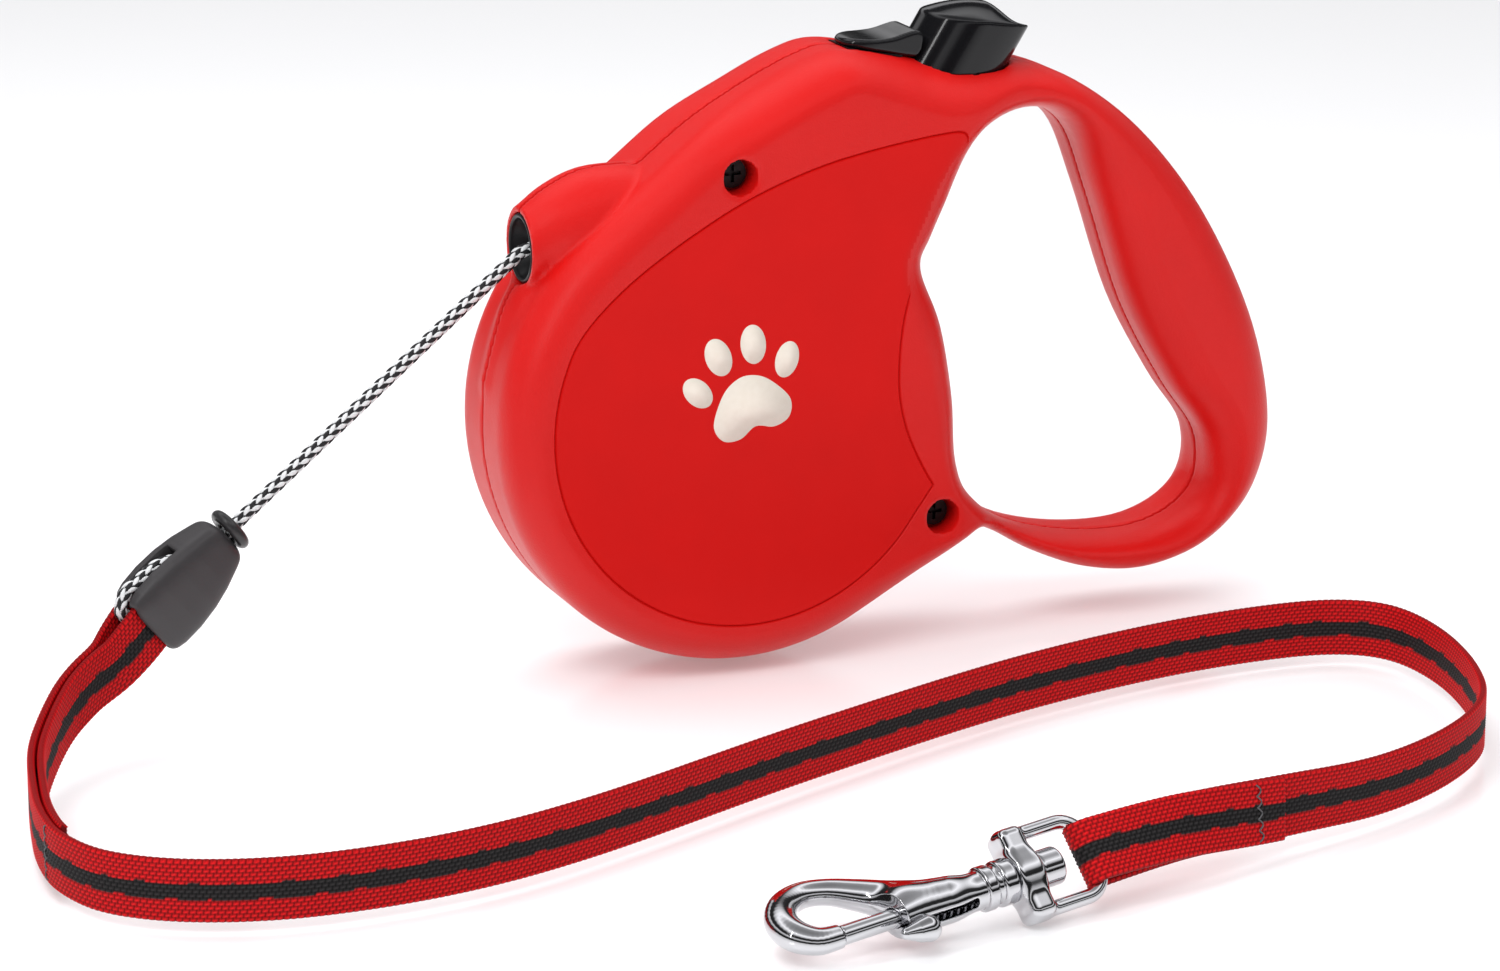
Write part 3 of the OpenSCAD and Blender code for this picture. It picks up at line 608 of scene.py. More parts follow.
def slide_lock():
    """Lock slide: a scooped thumb piece with a round nose, cut to the button at its rear."""
    step = 0.2
    lo, hi = (0.4, -7, -5.6), (18.2, 7, 6)
    x, y, z = grid_axes(lo, hi, step)
    profile = open_curve([(2.3, 0.0), (8, 0.0), (17.2, 0.0), (17.35, 2.4), (17.1, 4.2),
                          (16.3, 4.95), (15.1, 4.85), (13.4, 4.15), (11, 3.1), (8, 2.35),
                          (5, 1.9), (2.9, 1.5), (1.8, 0.95), (1.8, 0.4)], 4)
    depth, _ = outline_distance(profile, x, z)
    nose_x, nose_l, half_w = 8.2, 6.6, 5.9
    nose = (np.hypot((x - nose_x) / nose_l, y / half_w) - 1) * half_w
    plan = np.where(x < nose_x, nose, np.abs(y) - half_w)
    cap = blend_cut(-depth, -plan, 0.7)
    a = math.radians(LOCK_SLOPE)
    in_x = LOCK_AT[0] + x * math.cos(a) + z * math.sin(a)
    in_z = LOCK_AT[1] - x * math.sin(a) + z * math.cos(a)
    cap = blend_cut(cap, button_plan(brake_coordinates(in_x, in_z)[0], y) - 0.8, 0.5)
    neck = box_field(x, y, z, (7, -2.45, -3.4), (11.4, 2.45, 0.6))
    foot = box_field(x, y, z, (5.6, -4.4, -4.9), (12, 4.4, -3.1), 0.2)
    place = (Matrix.Translation((LOCK_AT[0], 0, LOCK_AT[1]))
             @ Matrix.Rotation(math.radians(LOCK_SLOPE), 4, "Y"))
    return piece_from_field("slide_lock", union(cap, neck, foot), lo, step, place)


# ---------- outlet, cord, coupling ----------

def outlet_funnel():
    """Funnel in the outlet's mouth, with a rounded lip."""
    lip_r = 0.5
    lip = [(lip_r - lip_r * math.cos(a), FUNNEL_R - lip_r + lip_r * math.sin(a))
           for a in np.radians(np.arange(90, -91, -15))]
    cone = open_curve([(0.6, FUNNEL_R - 2 * lip_r), (2.6, 4.7), (5.4, 3.3), (9.5, 2.45)], 4)
    profile = [*lip, *cone[1:], (12.6, 2.4), (12.6, FUNNEL_R)]
    verts, faces = lathe(profile, 72)
    verts = verts + np.array((-40.9, 0, OUTLET[1]))
    return piece_from_faces("outlet_funnel", verts, [f[::-1] for f in faces])


def braid(name, path):
    """Braided cord: two families of strands that pass over two and under two of each other."""
    carriers, lead, sides = 8, 12.8, 8
    strand_w, strand_t, lift = 0.47, 0.24, 0.13
    middle_r = CORD_R - strand_t - lift
    path, s = resample(path, 0.3)
    u, w = carried_frames(path, np.array((0.0, 1.0, 0.05)))
    solids, tones = [], []
    for way in (-1, 1):
        for c in range(carriers):
            along = 2 * math.pi * s / lead
            angle = way * along + 2 * math.pi * c / carriers
            weave = way * np.tanh(1.6 * np.cos(carriers / 2 * angle)) / math.tanh(1.6)
            r = middle_r + lift * weave
            out = np.cos(angle)[:, None] * u + np.sin(angle)[:, None] * w
            centre = path + out * r[:, None]
            side = np.cross(headings(centre), out)
            a = np.arange(sides) * 2 * math.pi / sides
            ring = (centre[:, None] + strand_w * np.cos(a)[None, :, None] * side[:, None]
                    + strand_t * np.sin(a)[None, :, None] * out[:, None])
            solids.append((ring.reshape(-1, 3), tube_faces(len(path), sides)))
            tones.append(np.full(len(path) * sides, float(c % 2)))
    core, core_faces = tube(path, middle_r - 0.05, 12)
    solids.append((core, core_faces))
    tones.append(np.full(len(core), 1.0))
    piece = join(name, solids)
    tone = piece.data.attributes.new("tone", "FLOAT", "POINT")
    tone.data.foreach_set("value", np.concatenate(tones).astype(np.float32))
    return piece


def cord_direction():
    return unit(COUPLING_TOP - CORD_EXIT)


def outside_cord():
    d = cord_direction()
    points = [MOUTH, CORD_EXIT, CORD_EXIT + d * 8, COUPLING_TOP - d * 8, COUPLING_TOP - d * 0.4]
    return braid("braided_cord", open_curve(points, 8))


def coupling_matrix():
    return (Matrix.Translation(COUPLING_TOP)
            @ Matrix.Rotation(math.radians(COUPLING_TURN), 4, "Z")
            @ Matrix.Rotation(math.radians(COUPLING_DROP), 4, "Y")
            @ Matrix.Rotation(math.radians(COUPLING_ROLL), 4, "X"))


def coupling_cord():
    """Cord end that leaves the coupling's window and crosses through the strap's loop."""
    down_side = [(0.3, 0, 0), (5.2, 0, 0), (7.4, -0.4, 0), (9.2, -2.6, 0), (11, -5.2, 0),
                 (13.6, -6.7, 0), (17.8, -7.3, 0), (20.8, -7.7, 0)]
    path, t, up, _ = strap_frames()
    through_loop = [path[0] + a * up[0] + b * t[0]
                    for a, b in ((5.6, 0.55), (2.6, 0.2), (-1, 0.1), (-5, 0.1))]
    points = [*placed(down_side, coupling_matrix()), *through_loop]
    return braid("cord_loop", open_curve(points, 8))


def tether_coupling():
    """Moulded coupling: flat broad faces, soft ridges, a window and a groove for the cord."""
    step = 0.22
    lo, hi = (-1.2, -11, -6), (24.6, 11, 6)
    x, y, z = grid_axes(lo, hi, step)
    stations = [0, 3, 7, 11, 15.5, 19.5, 23]
    half_w = np.interp(x, stations, [4.5, 5.5, 6.7, 7.5, 7.9, 7.8, 7.1])
    half_t = np.interp(x, stations, [3.4, 4.1, 4.8, 5.2, 5.35, 5.15, 4.6])
    power = 4.2
    reach = (np.abs(y) / half_w) ** power + (np.abs(z) / half_t) ** power
    side = (reach ** (1 / power) - 1) * np.minimum(half_t, half_w)
    ends = np.abs(x - COUPLING_LEN / 2) - COUPLING_LEN / 2
    solid = blend_cut(side, -ends, 2.2)
    solid = blend_cut(solid, cylinder_field(x, np.hypot(y, z), CORD_R + 0.35, -3, 12), 0.4)
    mouth = box_field(x, y, z, (COUPLING_LEN - 4.6, -6.1, -3.4), (40, 6.1, 3.4), 0.5)
    solid = blend_cut(solid, mouth, 0.4)
    window = box_field(x, y, z, (8.9, -20, -CORD_R - 0.4), (40, 0, CORD_R + 0.4))
    bay = box_field(x, y, z, (5.9, -4.9, -CORD_R - 0.4), (12, 0, CORD_R + 0.4))
    window = np.minimum(window, bay)
    solid = blend_cut(solid, window, 0.35)
    parting = np.hypot(z, (half_w - y) * 0.6)
    solid = np.maximum(solid, np.where(y > 0, 0.22 - parting, -9))
    return piece_from_field("tether_coupling", solid, lo, step, coupling_matrix())


def stop_ring():
    wire, sides = 1.25, 28
    a = np.arange(sides) * 2 * math.pi / sides
    profile = np.stack([wire * 0.92 * np.cos(a), 4.5 - wire + wire * np.sin(a)], 1)
    verts, faces = lathe(profile, 72)
    d = cord_direction()
    side = unit(np.cross((0, 0, 1), d))
    turn = np.stack([d, side, np.cross(d, side)], 1)
    return piece_from_faces("cord_stop", verts @ turn.T + COUPLING_TOP - d * 1.5, faces)


# ---------- strap ----------

STRAP_POINTS = (
    LOOP_A, (-127, -16, -32.8), (-133.7, -21.3, -35.3), (-139.4, -27.3, -37.8),
    (-145.2, -37.3, -40.3), (-149.5, -47.5, -42.1), (-152.6, -60.5, -43.2),
    (-154.9, -75, STRAP_Z), (-154.6, -88, STRAP_Z), (-149.5, -100, STRAP_Z),
    (-137, -109, STRAP_Z), (-118, -113.6, STRAP_Z), (-92, -112, STRAP_Z),
    (-63.6, -103.1, STRAP_Z), (-17.3, -81.8, STRAP_Z), (31.6, -61.8, STRAP_Z),
    (67.5, -52, STRAP_Z), (94, -49.2, STRAP_Z), (110, -51.5, STRAP_Z),
    (118.2, -60, STRAP_Z), (119.2, -77, STRAP_Z), (114.3, -98, STRAP_Z),
    (105.5, -115.5, STRAP_Z), (90, -129, STRAP_Z), (70.9, -138, STRAP_Z),
    (48, -144, -42.3), (26, -148.8, -41.25), LOOP_B,
)
LEAN_A, LEAN_B = 2.0, 40.0
LAYER_GAP, LOOP_OFFSET = 0.3, 2.4
TAIL_A, TAIL_B = 31, 8


def strap_frames():
    """Points of the strap's middle line, with its upper-edge and thickness directions."""
    path = open_curve(STRAP_POINTS, 4)
    t = headings(path)
    i = np.arange(len(path))
    lean = np.radians(LEAN_A * (1 - ramp(0, 16, i)) + LEAN_B * ramp(len(i) - 12, len(i) - 1, i))
    upright = np.array([unit(np.array((0, 0, 1)) - d[2] * d) for d in t])
    side = np.cross(upright, t)
    up = upright * np.cos(lean)[:, None] - side * np.sin(lean)[:, None]
    return path, t, up, np.cross(up, t)


def strap_ribbon():
    """Middle line and upper-edge direction of the whole ribbon, both folded ends included."""
    path, t, up, left = strap_frames()
    n = len(path)
    i = np.arange(n)
    flat = (STRAP_T + LAYER_GAP) / 2
    spread = flat + (LOOP_OFFSET - flat) * (1 - ramp(0, 7, np.minimum(i, n - 1 - i)))
    near, far = path + spread[:, None] * left, path - spread[:, None] * left

    def half_turn(at, ahead, side):
        angles = np.radians(np.arange(15, 180, 15))
        return [path[at] + LOOP_OFFSET * (left[at] * side * math.cos(a) + ahead * math.sin(a))
                for a in angles]

    centre = [*near[TAIL_A::-1], *half_turn(0, -t[0], 1), *far,
              *half_turn(n - 1, t[-1], -1), *near[:n - 2 - TAIL_B:-1]]
    turn = 11
    edge = [*up[TAIL_A::-1], *[up[0]] * turn, *up, *[up[-1]] * turn, *up[:n - 2 - TAIL_B:-1]]
    return np.array(centre), np.array(edge)


# Distance along the strap between two crossings of the weave
PICK = 1.2


def weave_height(s, columns, face):
    """Height of a face's yarns, 0 in the gaps and 1 on the crests, and the swell along them."""
    across = np.arange(columns)
    yarn = (across // 2) + (0 if face > 0 else 1)
    crest = (across % 2 == 1).astype(float)
    phase = s[:, None] / PICK + 0.5 * (yarn[None] % 2)
    over = np.abs(np.sin(math.pi * phase)) ** 0.7
    beside = np.abs(np.cos(math.pi * phase)) ** 0.7
    return crest * over + (1 - crest) * 0.35 * np.minimum(over, beside), over


def black_yarns(s, columns):
    """Where the black stripe runs: yarns 5 to 9, with edges that step in and out by a yarn."""
    low, high, inset = 5.0, 9.0, 0.6
    yarn = np.arange(columns) / 2
    wave = np.round(0.75 * np.sin(2 * math.pi * s / 8.3) + 0.45 * np.sin(2 * math.pi * s / 5.1))
    stripe_low = low + np.where(wave > 0, inset, 0.0)
    stripe_high = high + 0.2 + np.where(np.roll(wave, 13) > 0, inset, 0.0)
    return (yarn[None] > stripe_low[:, None]) & (yarn[None] < stripe_high[:, None])


def webbing_strap():
    """Woven strap: every yarn's bumps are geometry, with a black stripe down the middle."""
    centre, edge = strap_ribbon()
    dense = open_curve(np.hstack([centre, edge]), 8)
    dense, s = resample(dense, PICK / 4)
    centre, up = dense[:, :3], dense[:, 3:]
    t = headings(centre)
    up = up - (up * t).sum(1)[:, None] * t
    up /= np.linalg.norm(up, axis=1)[:, None]
    out = np.cross(up, t)
    columns, relief_t, edge_t, edge_dip = 31, 0.3, 0.3, 0.1
    x = np.linspace(-STRAP_W / 2, STRAP_W / 2, columns)
    black = black_yarns(s, columns)
    verts, stripe, relief = [], [], []
    for face in (1, -1):
        height, over = weave_height(s, columns, face)
        half = STRAP_T / 2 - relief_t + relief_t * height
        half[:, 0] = half[:, -1] = edge_t
        scallop = np.zeros_like(half)
        scallop[:, 0] = -edge_dip * over[:, 0]
        scallop[:, -1] = edge_dip * over[:, -1]
        place = (centre[:, None] + (x[None, :, None] + scallop[..., None]) * up[:, None]
                 + face * half[..., None] * out[:, None])
        order = slice(None) if face > 0 else slice(None, None, -1)
        verts.append(place[:, order])
        stripe.append(black[:, order].astype(float))
        relief.append(height[:, order])
    ring = np.concatenate(verts, 1)
    rows, ring_n = ring.shape[:2]
    piece = piece_from_faces("webbing_strap", ring.reshape(-1, 3),
                             [f[::-1] for f in tube_faces(rows, ring_n)])
    # The yarn heights also go to the material, which paints shade into the gaps and light onto the
    # crests from them.
    for name, values in (("stripe", stripe), ("relief", relief)):
        layer = piece.data.attributes.new(name, "FLOAT", "POINT")
        layer.data.foreach_set("value", np.concatenate(values, 1).astype(np.float32).ravel())
    return piece


def tack_stitches():
    """Rows of thread that hold the folded ends down."""
    path, t, up, left = strap_frames()
    n = len(path)
    thread_r, thread_sides, dive, zigzag = 0.14, 6, 0.25, 0.5
    reach = STRAP_T + LAYER_GAP / 2 + 0.02
    solids = []
    for at in (TAIL_A - 1, n - TAIL_B):
        for k in range(-5, 5):
            zig = zigzag if k % 2 else -zigzag
            a = path[at] + k * up[at] + zig * t[at]
            b = path[at] + (k + 1) * up[at] - zig * t[at]
            for side in (1, -1):
                low, high = side * left[at] * (reach - dive), side * left[at] * reach
                arc = [a + low, a * 0.75 + b * 0.25 + high, a * 0.25 + b * 0.75 + high, b + low]
                solids.append(tube(open_curve(arc, 4), thread_r, thread_sides))
            through = left[at] * (reach - dive)
            solids.append(tube(np.array([a - through, a + through]), thread_r, thread_sides))
    return join("tack_stitches", solids)


# ---------- swivel eye and snap ----------

def hook_matrix(roll):
    return (Matrix.Translation(LOOP_B)
            @ Matrix.Rotation(math.radians(HOOK_TURN), 4, "Z")
            @ Matrix.Rotation(math.radians(-HOOK_RISE), 4, "Y")
            @ Matrix.Translation((-EYE_REACH, 0, 0))
            @ Matrix.Rotation(math.radians(roll), 4, "X"))


def eye_ring():
    """Eye: a rounded frame whose bar holds the strap, and the block that turns on the stem."""
    step = 0.15
    lo, hi = (-0.9, -9.3, -5.1), (19.2, 9.3, 5.1)
    x, y, z = grid_axes(lo, hi, step)
    half, rod, corner = 7.0, 1.3, 4.4
    bend = [(EYE_REACH - corner + corner * math.sin(a), half - corner + corner * math.cos(a), rod)
            for a in np.radians(np.arange(0, 91, 10))]
    path = np.array([(1.5, half, rod), *bend, *[(p, -q, r) for p, q, r in bend[::-1]],
                     (1.5, -half, rod)])
    d, r = path_distance(path, x, y)
    frame_rod = np.hypot(d, z) - r
    block = box_field(x, y, z, (0, -8.3, -3.3), (5, 8.3, 3.3), 1.6)
    boss = cylinder_field(x, np.hypot(y, z), 4.4, 0, 5, 0.8)
    solid = blend_union(blend_union(frame_rod, block, 1.2), boss, 1.4)
    solid = blend_cut(solid, cylinder_field(x, np.hypot(y, z), 2.05, -3, 9), 0.25)
    return piece_from_field("eye_ring", solid, lo, step, hook_matrix(EYE_ROLL))


def snap_hook():
    """Hook body: barrel with a slot, collars, swivel stem with its riveted head, and the bow."""
    step = 0.15
    lo, hi = (-45.6, -7.5, -5.4), (10.8, 19.2, 5.4)
    x, y, z = grid_axes(lo, hi, step)
    bow = open_curve([(-13, 0.6, 3.3), (-17.4, 2.0, 3.7), (-21, 4.9, 3.5), (-24.8, 8.8, 2.9),
                      (-28.9, 12.3, 2.4), (-33.4, 13.6, 2.4), (-37.8, 12, 2.7),
                      (-40.6, 8.2, 2.95), (-40.8, 3.9, 2.85), (-38.5, 0.6, 2.45),
                      (-34.7, 0, 2.15), (-32, 0, 2.1)], 6)
    d, r = path_distance(bow, x, y)
    hook = np.hypot(d, z * 1.06) - r
    root = np.hypot(np.hypot(x + 20.6, y - 2.0), z) - 3.3
    hook = blend_union(hook, root, 2.5)
    hook = np.maximum(hook, -box_field(x, y, z, (-34.6, -3.2, -9), (-27, 3.2, 9)))
    off = np.hypot(y, z)
    taper = 3.35 + 0.3 * ramp(-8, -22, x)
    barrel = np.maximum(off - taper, np.abs(x + 14.6) - 8.3)
    barrel = blend_union(barrel, hook, 3.0)
    parts = [(3.95, -6.5, -4.3, 0.45), (3.35, -4.5, -3.0, 0.1), (4.05, -3.2, -0.25, 0.6),
             (2.0, -1.0, 5.4, 0.1), (3.35, 5.2, 9.7, 0.6)]
    solid = barrel
    for radius, a, b, edge in parts:
        solid = blend_union(solid, cylinder_field(x, off, radius, a, b, edge), 0.25)
    solid = blend_cut(solid, cylinder_field(x, off, 1.78, -25.5, -7.5), 0.2)
    slot = box_field(x, y, z, (-26, -30, -0.95), (-8.5, 0, 0.95), 0.5)
    solid = blend_cut(solid, slot, 0.25)
    solid = np.maximum(solid, -cylinder_field(x, off, 1.78, -34.45, -24, 0.1))
    return piece_from_field("snap_hook", solid, lo, step, hook_matrix(HOOK_ROLL))


def snap_bolt():
    """Sliding bolt with a teardrop thumb knob."""
    step = 0.15
    lo, hi = (-35.1, -8.4, -3), (-17.1, 2.4, 3)
    x, y, z = grid_axes(lo, hi, step)
    rod = cylinder_field(x, np.hypot(y, z), 1.7, -34.3, -18.5, 0.35)
    neck = box_field(x, y, z, (-21.5, -5, -0.85), (-19.3, 0, 0.85))
    drop = np.array([(-20.4, -5.4, 2.3), (-22.2, -5.3, 1.9), (-24.4, -4.9, 1.05)])
    d, r = path_distance(drop, x, y)
    solid = blend_union(blend_union(rod, neck, 0.4), np.hypot(d, z) - r, 0.6)
    return piece_from_field("snap_bolt", solid, lo, step, hook_matrix(HOOK_ROLL))


# ---------- springs ----------

def coil_spring(name, radius, wire, height, turns, place):
    """Coil from the origin of its place up to its height along Z."""
    a = np.linspace(0, 2 * math.pi * turns, 24 * turns + 1)
    rise = wire + (height - 2 * wire) * a / a[-1]
    path = np.stack([radius * np.cos(a), radius * np.sin(a), rise], 1)
    verts, faces = tube(placed(path, place), wire, 10)
    return piece_from_faces(name, verts, faces)


def shorten(spring):
    """Gives a spring its own copy of its mesh, without shortening it."""
    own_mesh(spring)


# ---------- materials ----------

def plug(tree, node, inputs):
    """Sets each named input of a node to a value, or links it to a socket."""
    for key, value in dict(inputs).items():
        if isinstance(value, bpy.types.NodeSocket):
            tree.links.new(value, node.inputs[key])
        else:
            node.inputs[key].default_value = value


def add_node(tree, kind, inputs=(), **settings):
    node = tree.nodes.new(kind)
    for key, value in settings.items():
        setattr(node, key, value)
    plug(tree, node, inputs)
    return node


def new_material(name):
    material = bpy.data.materials.new(name)
    material.use_nodes = True
    tree = material.node_tree
    tree.nodes.clear()
    surface = add_node(tree, "ShaderNodeBsdfPrincipled")
    add_node(tree, "ShaderNodeOutputMaterial", {"Surface": surface.outputs[0]})
    return material, tree, surface


def rgba(color):
    return (*color, 1.0)


def noise(tree, scale, detail=3.0, rough=0.5):
    """Noise over the part's own metres, so a scale of 1000 has features of about 1 mm."""
    place = add_node(tree, "ShaderNodeTexCoord").outputs["Object"]
    node = add_node(tree, "ShaderNodeTexNoise",
                    {"Vector": place, "Scale": scale, "Detail": detail, "Roughness": rough})
    return node.outputs["Fac"]


def mix_color(tree, factor, a, b):
    node = add_node(tree, "ShaderNodeMix", data_type="RGBA")
    sockets = {i.identifier: i for i in node.inputs}
    for key, value in (("Factor_Float", factor), ("A_Color", a), ("B_Color", b)):
        if isinstance(value, bpy.types.NodeSocket):
            tree.links.new(value, sockets[key])
        else:
            sockets[key].default_value = value
    return next(o for o in node.outputs if o.identifier == "Result_Color")


def span(tree, value, low, high):
    """Maps a 0 to 1 value onto the span from low to high."""
    return add_node(tree, "ShaderNodeMapRange",
                    {"Value": value, "To Min": low, "To Max": high}).outputs[0]


def bump(tree, height, depth):
    """Surface normal for a height that varies by a depth in millimetres."""
    return add_node(tree, "ShaderNodeBump", {"Height": height, "Distance": depth * MM}).outputs[0]


def attribute(tree, name):
    return add_node(tree, "ShaderNodeAttribute", attribute_name=name).outputs["Fac"]


def moulded_plastic(name, color, rough, grain_scale, grain_depth, coat=0.0, shine=0.5):
    """Moulded plastic: faint colour drift, uneven sheen, and a fine cast-in grain."""
    material, tree, surface = new_material(name)
    darker = [c * 0.88 for c in color]
    plug(tree, surface, {
        "Base Color": mix_color(tree, noise(tree, 60, 2), rgba(darker), rgba(color)),
        "Roughness": span(tree, noise(tree, 220, 4), rough - 0.04, rough + 0.05),
        "Normal": bump(tree, noise(tree, grain_scale, 2, 0.6), grain_depth),
        "Specular IOR Level": shine, "Coat Weight": coat, "Coat Roughness": 0.05,
    })
    return material


def metal(name, color, rough, scratch_depth):
    """Metal with slight waviness and fine handling marks."""
    material, tree, surface = new_material(name)
    duller = [c * 0.93 for c in color]
    plug(tree, surface, {
        "Metallic": 1.0,
        "Base Color": mix_color(tree, noise(tree, 150), rgba(duller), rgba(color)),
        "Roughness": span(tree, noise(tree, 900, 4), rough * 0.7, rough * 1.4),
        "Normal": bump(tree, noise(tree, 500), scratch_depth),
    })
    return material


def braid_material():
    """Black and white polyester strands, each with fine filaments."""
    material, tree, surface = new_material("cord_braid")
    fibre = noise(tree, 4000, 3, 0.7)
    white = mix_color(tree, fibre, rgba((0.55, 0.56, 0.57)), rgba((0.86, 0.87, 0.88)))
    black = mix_color(tree, fibre, rgba((0.006, 0.006, 0.007)), rgba((0.03, 0.03, 0.032)))
    plug(tree, surface, {
        "Base Color": mix_color(tree, attribute(tree, "tone"), white, black),
        "Roughness": 0.5, "Specular IOR Level": 0.25, "Normal": bump(tree, fibre, 0.05),
    })
    return material


def webbing_material():
    """Red nylon webbing with a black stripe: painted shade in the gaps between yarns, painted light
    on the crests, and fine filaments.
    """
    material, tree, surface = new_material("webbing")
    relief = attribute(tree, "relief")
    fibre = noise(tree, 5000, 3, 0.7)
    # Painted shade: both reds run from near black in the gaps between yarns to full red on the
    # crests, and the fibre noise mixes a dimmer and a brighter copy.
    red_dim_painted_shade = mix_color(tree, relief, rgba((0.12, 0.002, 0.003)), rgba((0.76, 0.008, 0.010)))
    red_bright_painted_shade = mix_color(tree, relief, rgba((0.12, 0.003, 0.004)), rgba((0.88, 0.014, 0.018)))
    red = mix_color(tree, fibre, red_dim_painted_shade, red_bright_painted_shade)
    # Painted shade and painted highlight on the black stripe: near black in the gaps, a lighter grey
    # on the crests.
    black = mix_color(tree, relief, rgba((0.003, 0.003, 0.003)), rgba((0.036, 0.033, 0.034)))
    plug(tree, surface, {
        "Base Color": mix_color(tree, attribute(tree, "stripe"), red, black),
        "Roughness": span(tree, fibre, 0.38, 0.62), "Specular IOR Level": 0.1,
        "Normal": bump(tree, fibre, 0.06),
    })
    return material


def printed_ink():
    material, tree, surface = new_material("printed_ink")
    worn, fresh = rgba((0.78, 0.70, 0.60)), rgba((0.86, 0.79, 0.70))
    plug(tree, surface, {
        "Base Color": mix_color(tree, noise(tree, 700, 4), worn, fresh),
        "Roughness": span(tree, noise(tree, 1500), 0.4, 0.55),
        "Normal": bump(tree, noise(tree, 2500, 2), 0.01),
    })
    return material


RED = (0.64, 0.006, 0.005)
shell_red = moulded_plastic("shell_red", RED, 0.38, 2600, 0.05, shine=0.3)
panel_red = moulded_plastic("panel_red", (0.62, 0.005, 0.004), 0.45, 5200, 0.012, shine=0.15)
gloss_black = moulded_plastic("gloss_black", (0.006, 0.006, 0.007), 0.13, 1500, 0.002,
                              coat=0.15, shine=0.35)
guide_black = moulded_plastic("guide_black", (0.008, 0.008, 0.009), 0.32, 3000, 0.01,
                              shine=0.2)
coupling_grey = moulded_plastic("coupling_grey", (0.036, 0.033, 0.035), 0.42, 2600, 0.02)
ring_rubber = moulded_plastic("ring_rubber", (0.022, 0.021, 0.022), 0.3, 3000, 0.012)
reel_plastic = moulded_plastic("reel_plastic", (0.04, 0.04, 0.042), 0.5, 2000, 0.02)
cord_material = braid_material()
webbing = webbing_material()
thread = moulded_plastic("thread", (0.10, 0.10, 0.105), 0.55, 9000, 0.03)
ink = printed_ink()
chrome = metal("hook_chrome", (0.60, 0.60, 0.62), 0.07, 0.004)
spring_steel = metal("spring_steel", (0.50, 0.50, 0.53), 0.28, 0.01)
turned_steel = metal("turned_steel", (0.56, 0.56, 0.58), 0.32, 0.01)
black_steel = metal("black_steel", (0.035, 0.034, 0.035), 0.5, 0.02)


# ---------- assembly ----------

def fit(piece, body, material, slot, *nodes):
    """Gives a piece its material and its body, and hides the CAD nodes it stands for; the slot
    argument is not used.
    """
    if not piece.data.materials:
        piece.data.materials.append(material)
    if nodes:
        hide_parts(*nodes)
    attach(piece, body)
    return piece


def keep_edges_crisp(obj, angle=35):
    """Shades smooth except across edges sharper than the angle, flat faces first."""
    obj.data.set_sharp_from_angle(angle=math.radians(angle))
    weighted = obj.modifiers.new("weighted", "WEIGHTED_NORMAL")
    weighted.keep_sharp = True


HALF_STEP = 0.6

for half_name, side, node in (("left_housing_half", -1, "left_shell"),
                              ("right_housing_half", 1, "right_shell")):
    half = housing_half(half_name, HALF_STEP, screws_from_outside=side < 0)
    cut(half, groove_cutter(side))
    half.data.materials.clear()
    half.data.materials.append(shell_red)
    half.data.materials.append(panel_red)
    mark_panel(half, side)
    keep_edges_crisp(half)
    fit(half, "housing", shell_red, "shell", node)

fit(paw_print(), "housing", ink, "shell")
fit(outlet_funnel(), "housing", guide_black, "guide_plastic", "cord_outlet")
fit(thumb_button(), "button", gloss_black, "black_plastic", "brake_button")
fit(slide_lock(), "lock", gloss_black, "black_plastic", "lock_slide")
fit(tether_coupling(), "tether", coupling_grey, "coupling_plastic", "cord_coupling")
fit(stop_ring(), "tether", ring_rubber, "ring_rubber", "stop_ring")
fit(coupling_cord(), "tether", cord_material, "cord_braid", "cord_end")
fit(webbing_strap(), "tether", webbing, "webbing", "tether_strap")
fit(tack_stitches(), "tether", thread, "thread", "strap_stitching")
fit(eye_ring(), "eye", chrome, "hook_chrome", "swivel_eye")
fit(snap_hook(), "snap", chrome, "hook_chrome", "hook_body")
fit(snap_bolt(), "bolt", chrome, "hook_chrome", "hook_bolt")

cord = outside_cord()
cord.data.materials.append(cord_material)
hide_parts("cord")
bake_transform(cord)

BRAKE_SEAT, BRAKE_COIL_L, BRAKE_TRAVEL = 59.65, 12.8, 3.5
seat_place = brake_matrix() @ Matrix.Translation((0, 0, BRAKE_SEAT))
spring = coil_spring("brake_coil", 4.95, 0.45, BRAKE_COIL_L, 5, seat_place)
fit(spring, "housing", spring_steel, "spring_steel", "brake_spring")
shorten(spring)

BOLT_END, BOLT_COIL_L, BOLT_TRAVEL = -18.4, 10.6, 9.0
bore_place = (hook_matrix(HOOK_ROLL) @ Matrix.Translation((BOLT_END, 0, 0))
              @ Matrix.Rotation(math.radians(90), 4, "Y"))
spring = coil_spring("bolt_coil", 1.2, 0.3, BOLT_COIL_L, 7, bore_place)
fit(spring, "snap", spring_steel, "spring_steel", "bolt_spring")
shorten(spring)

CAD_LOOKS = {
    "housing_screws": black_steel, "control_guide": guide_black,
    "spool": reel_plastic, "spool_cover": reel_plastic, "mainspring": spring_steel,
    "spring_arbor": turned_steel, "cord_winding": cord_material, "cord_lead": cord_material,
}
for node, material in CAD_LOOKS.items():
    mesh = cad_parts[node].data
    mesh.materials.clear()
    mesh.materials.append(material)


# ---------- stage, light and camera ----------

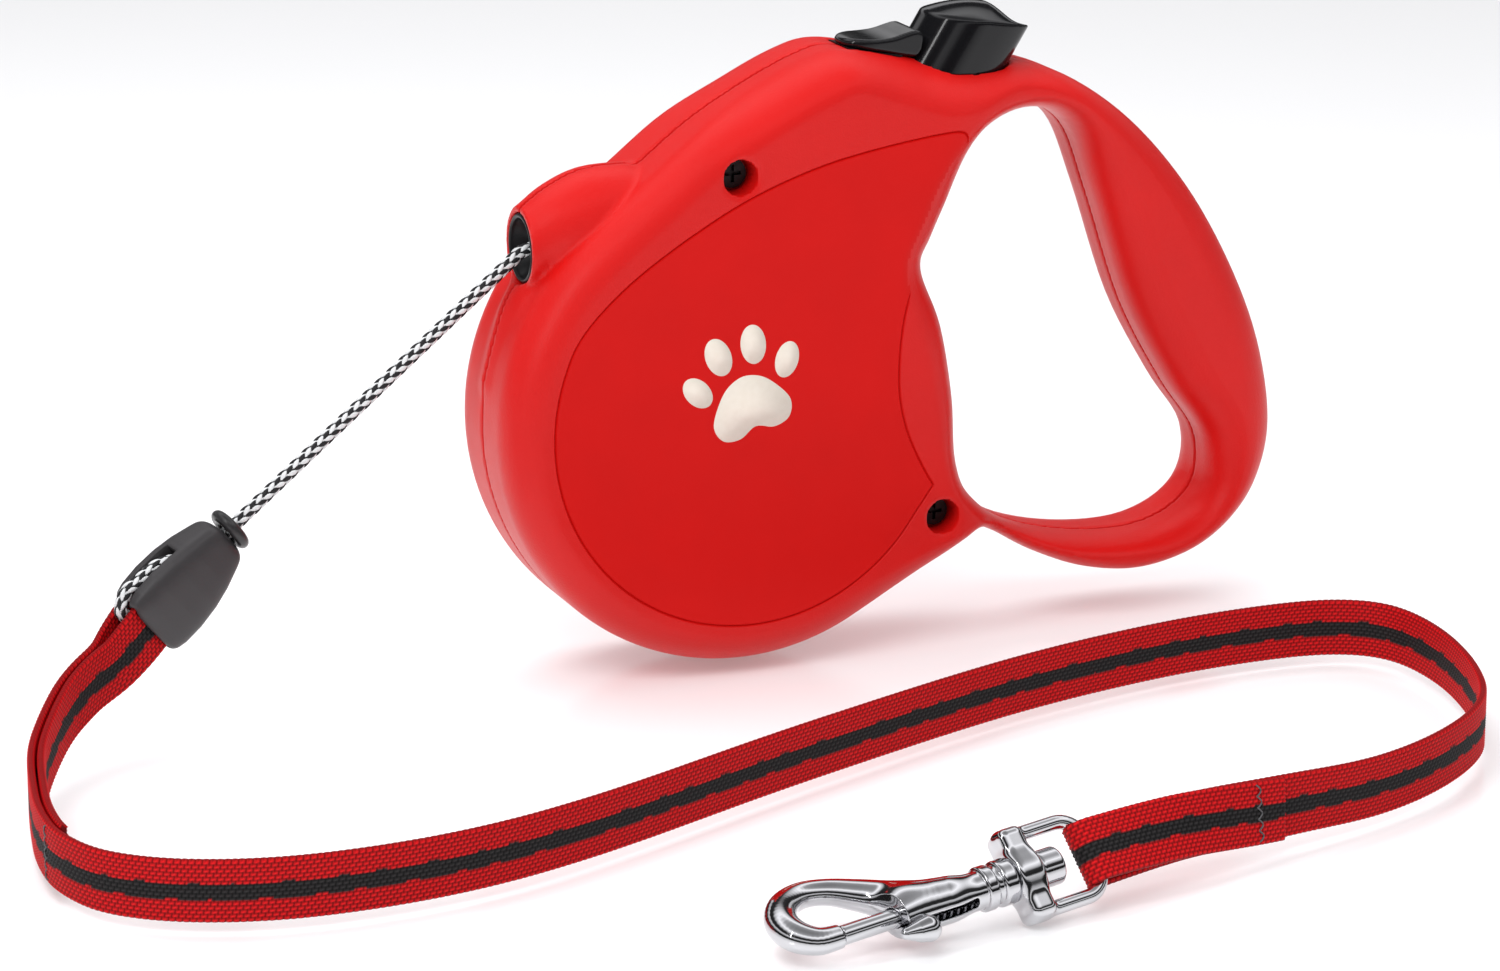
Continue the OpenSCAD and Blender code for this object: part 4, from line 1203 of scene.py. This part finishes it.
def studio_floor():
    """Pale glossy table, far larger than the view, with its top where the strap rests."""
    half, top = 4.0, cad_lo[2]
    verts = np.array([(-half, -half, top), (half, -half, top), (half, half, top), (-half, half, top)])
    floor = piece_from_faces("floor", verts / MM, [[0, 1, 2, 3]])
    material, tree, surface = new_material("pale_floor")
    duller, lighter = rgba((0.82, 0.82, 0.83)), rgba((0.86, 0.86, 0.87))
    plug(tree, surface, {
        "Base Color": mix_color(tree, noise(tree, 3, 2), duller, lighter),
        "Roughness": 0.18, "Specular IOR Level": 0.3,
        "Emission Color": rgba((1.0, 1.0, 1.0)), "Emission Strength": 0.21,
    })
    floor.data.materials.append(material)


def softbox(name, place, aim, size, power, mirrored=False):
    light = bpy.data.lights.new(name, "AREA")
    light.shape = "RECTANGLE"
    light.size, light.size_y = size
    light.energy = power
    lamp = bpy.data.objects.new(name, light)
    lamp.location = place
    lamp.rotation_euler = (Vector(aim) - Vector(place)).to_track_quat("-Z", "Y").to_euler()
    lamp.visible_glossy = mirrored
    bpy.context.scene.collection.objects.link(lamp)


def studio_world():
    """White for the camera, even light for matt surfaces, and light and dark bands in mirrors."""
    world = bpy.data.worlds.new("studio")
    bpy.context.scene.world = world
    world.use_nodes = True
    tree = world.node_tree
    tree.nodes.clear()
    place = add_node(tree, "ShaderNodeTexCoord").outputs["Generated"]
    height = add_node(tree, "ShaderNodeSeparateXYZ", {"Vector": place}).outputs["Z"]
    ramp_node = add_node(tree, "ShaderNodeValToRGB", {"Fac": span(tree, height, 0.0, 1.0)})
    stops = ramp_node.color_ramp
    bands = ((0.0, 0.02), (0.2, 0.02), (0.24, 0.5), (0.36, 0.9), (0.41, 0.02), (0.6, 0.04),
             (0.66, 0.6), (0.8, 1.6), (0.9, 0.5), (1.0, 0.3))
    for extra in bands[2:]:
        stops.elements.new(extra[0])
    for stop, (position, level) in zip(stops.elements, bands):
        stop.position = position
        stop.color = rgba((level, level, level * 1.02))
    path = add_node(tree, "ShaderNodeLightPath").outputs
    color = mix_color(tree, path["Is Diffuse Ray"], ramp_node.outputs[0], rgba((0.58, 0.58, 0.59)))
    color = mix_color(tree, path["Is Camera Ray"], color, rgba((1.0, 1.0, 1.0)))
    surface = add_node(tree, "ShaderNodeBackground", {"Color": color, "Strength": 1.0})
    add_node(tree, "ShaderNodeOutputWorld", {"Surface": surface.outputs[0]})


def photo_camera():
    data = bpy.data.cameras.new("camera")
    data.lens, data.sensor_width = 120.0, 36.0
    camera = bpy.data.objects.new("camera", data)
    camera.location = (-0.34675, -0.87379, 0.25275)
    aim = Vector((0.0062857, 0.0, -0.0174868)) - camera.location
    camera.rotation_euler = aim.to_track_quat("-Z", "Y").to_euler()
    bpy.context.scene.collection.objects.link(camera)
    bpy.context.scene.camera = camera


studio_floor()
studio_world()
softbox("key", (-0.5, -0.7, 0.9), (0, -0.04, 0), (0.7, 0.5), 6)
softbox("fill", (0.8, -0.5, 0.5), (0, -0.04, 0), (0.5, 0.7), 1.3)
softbox("top", (-0.1, 0.3, 1.0), (0, 0, 0), (1.0, 0.6), 6.5)
softbox("strip", (-0.75, -0.35, 0.5), (0, -0.04, 0.05), (0.07, 0.6), 1.2, mirrored=True)
photo_camera()
bpy.context.scene.view_settings.view_transform = "Standard"
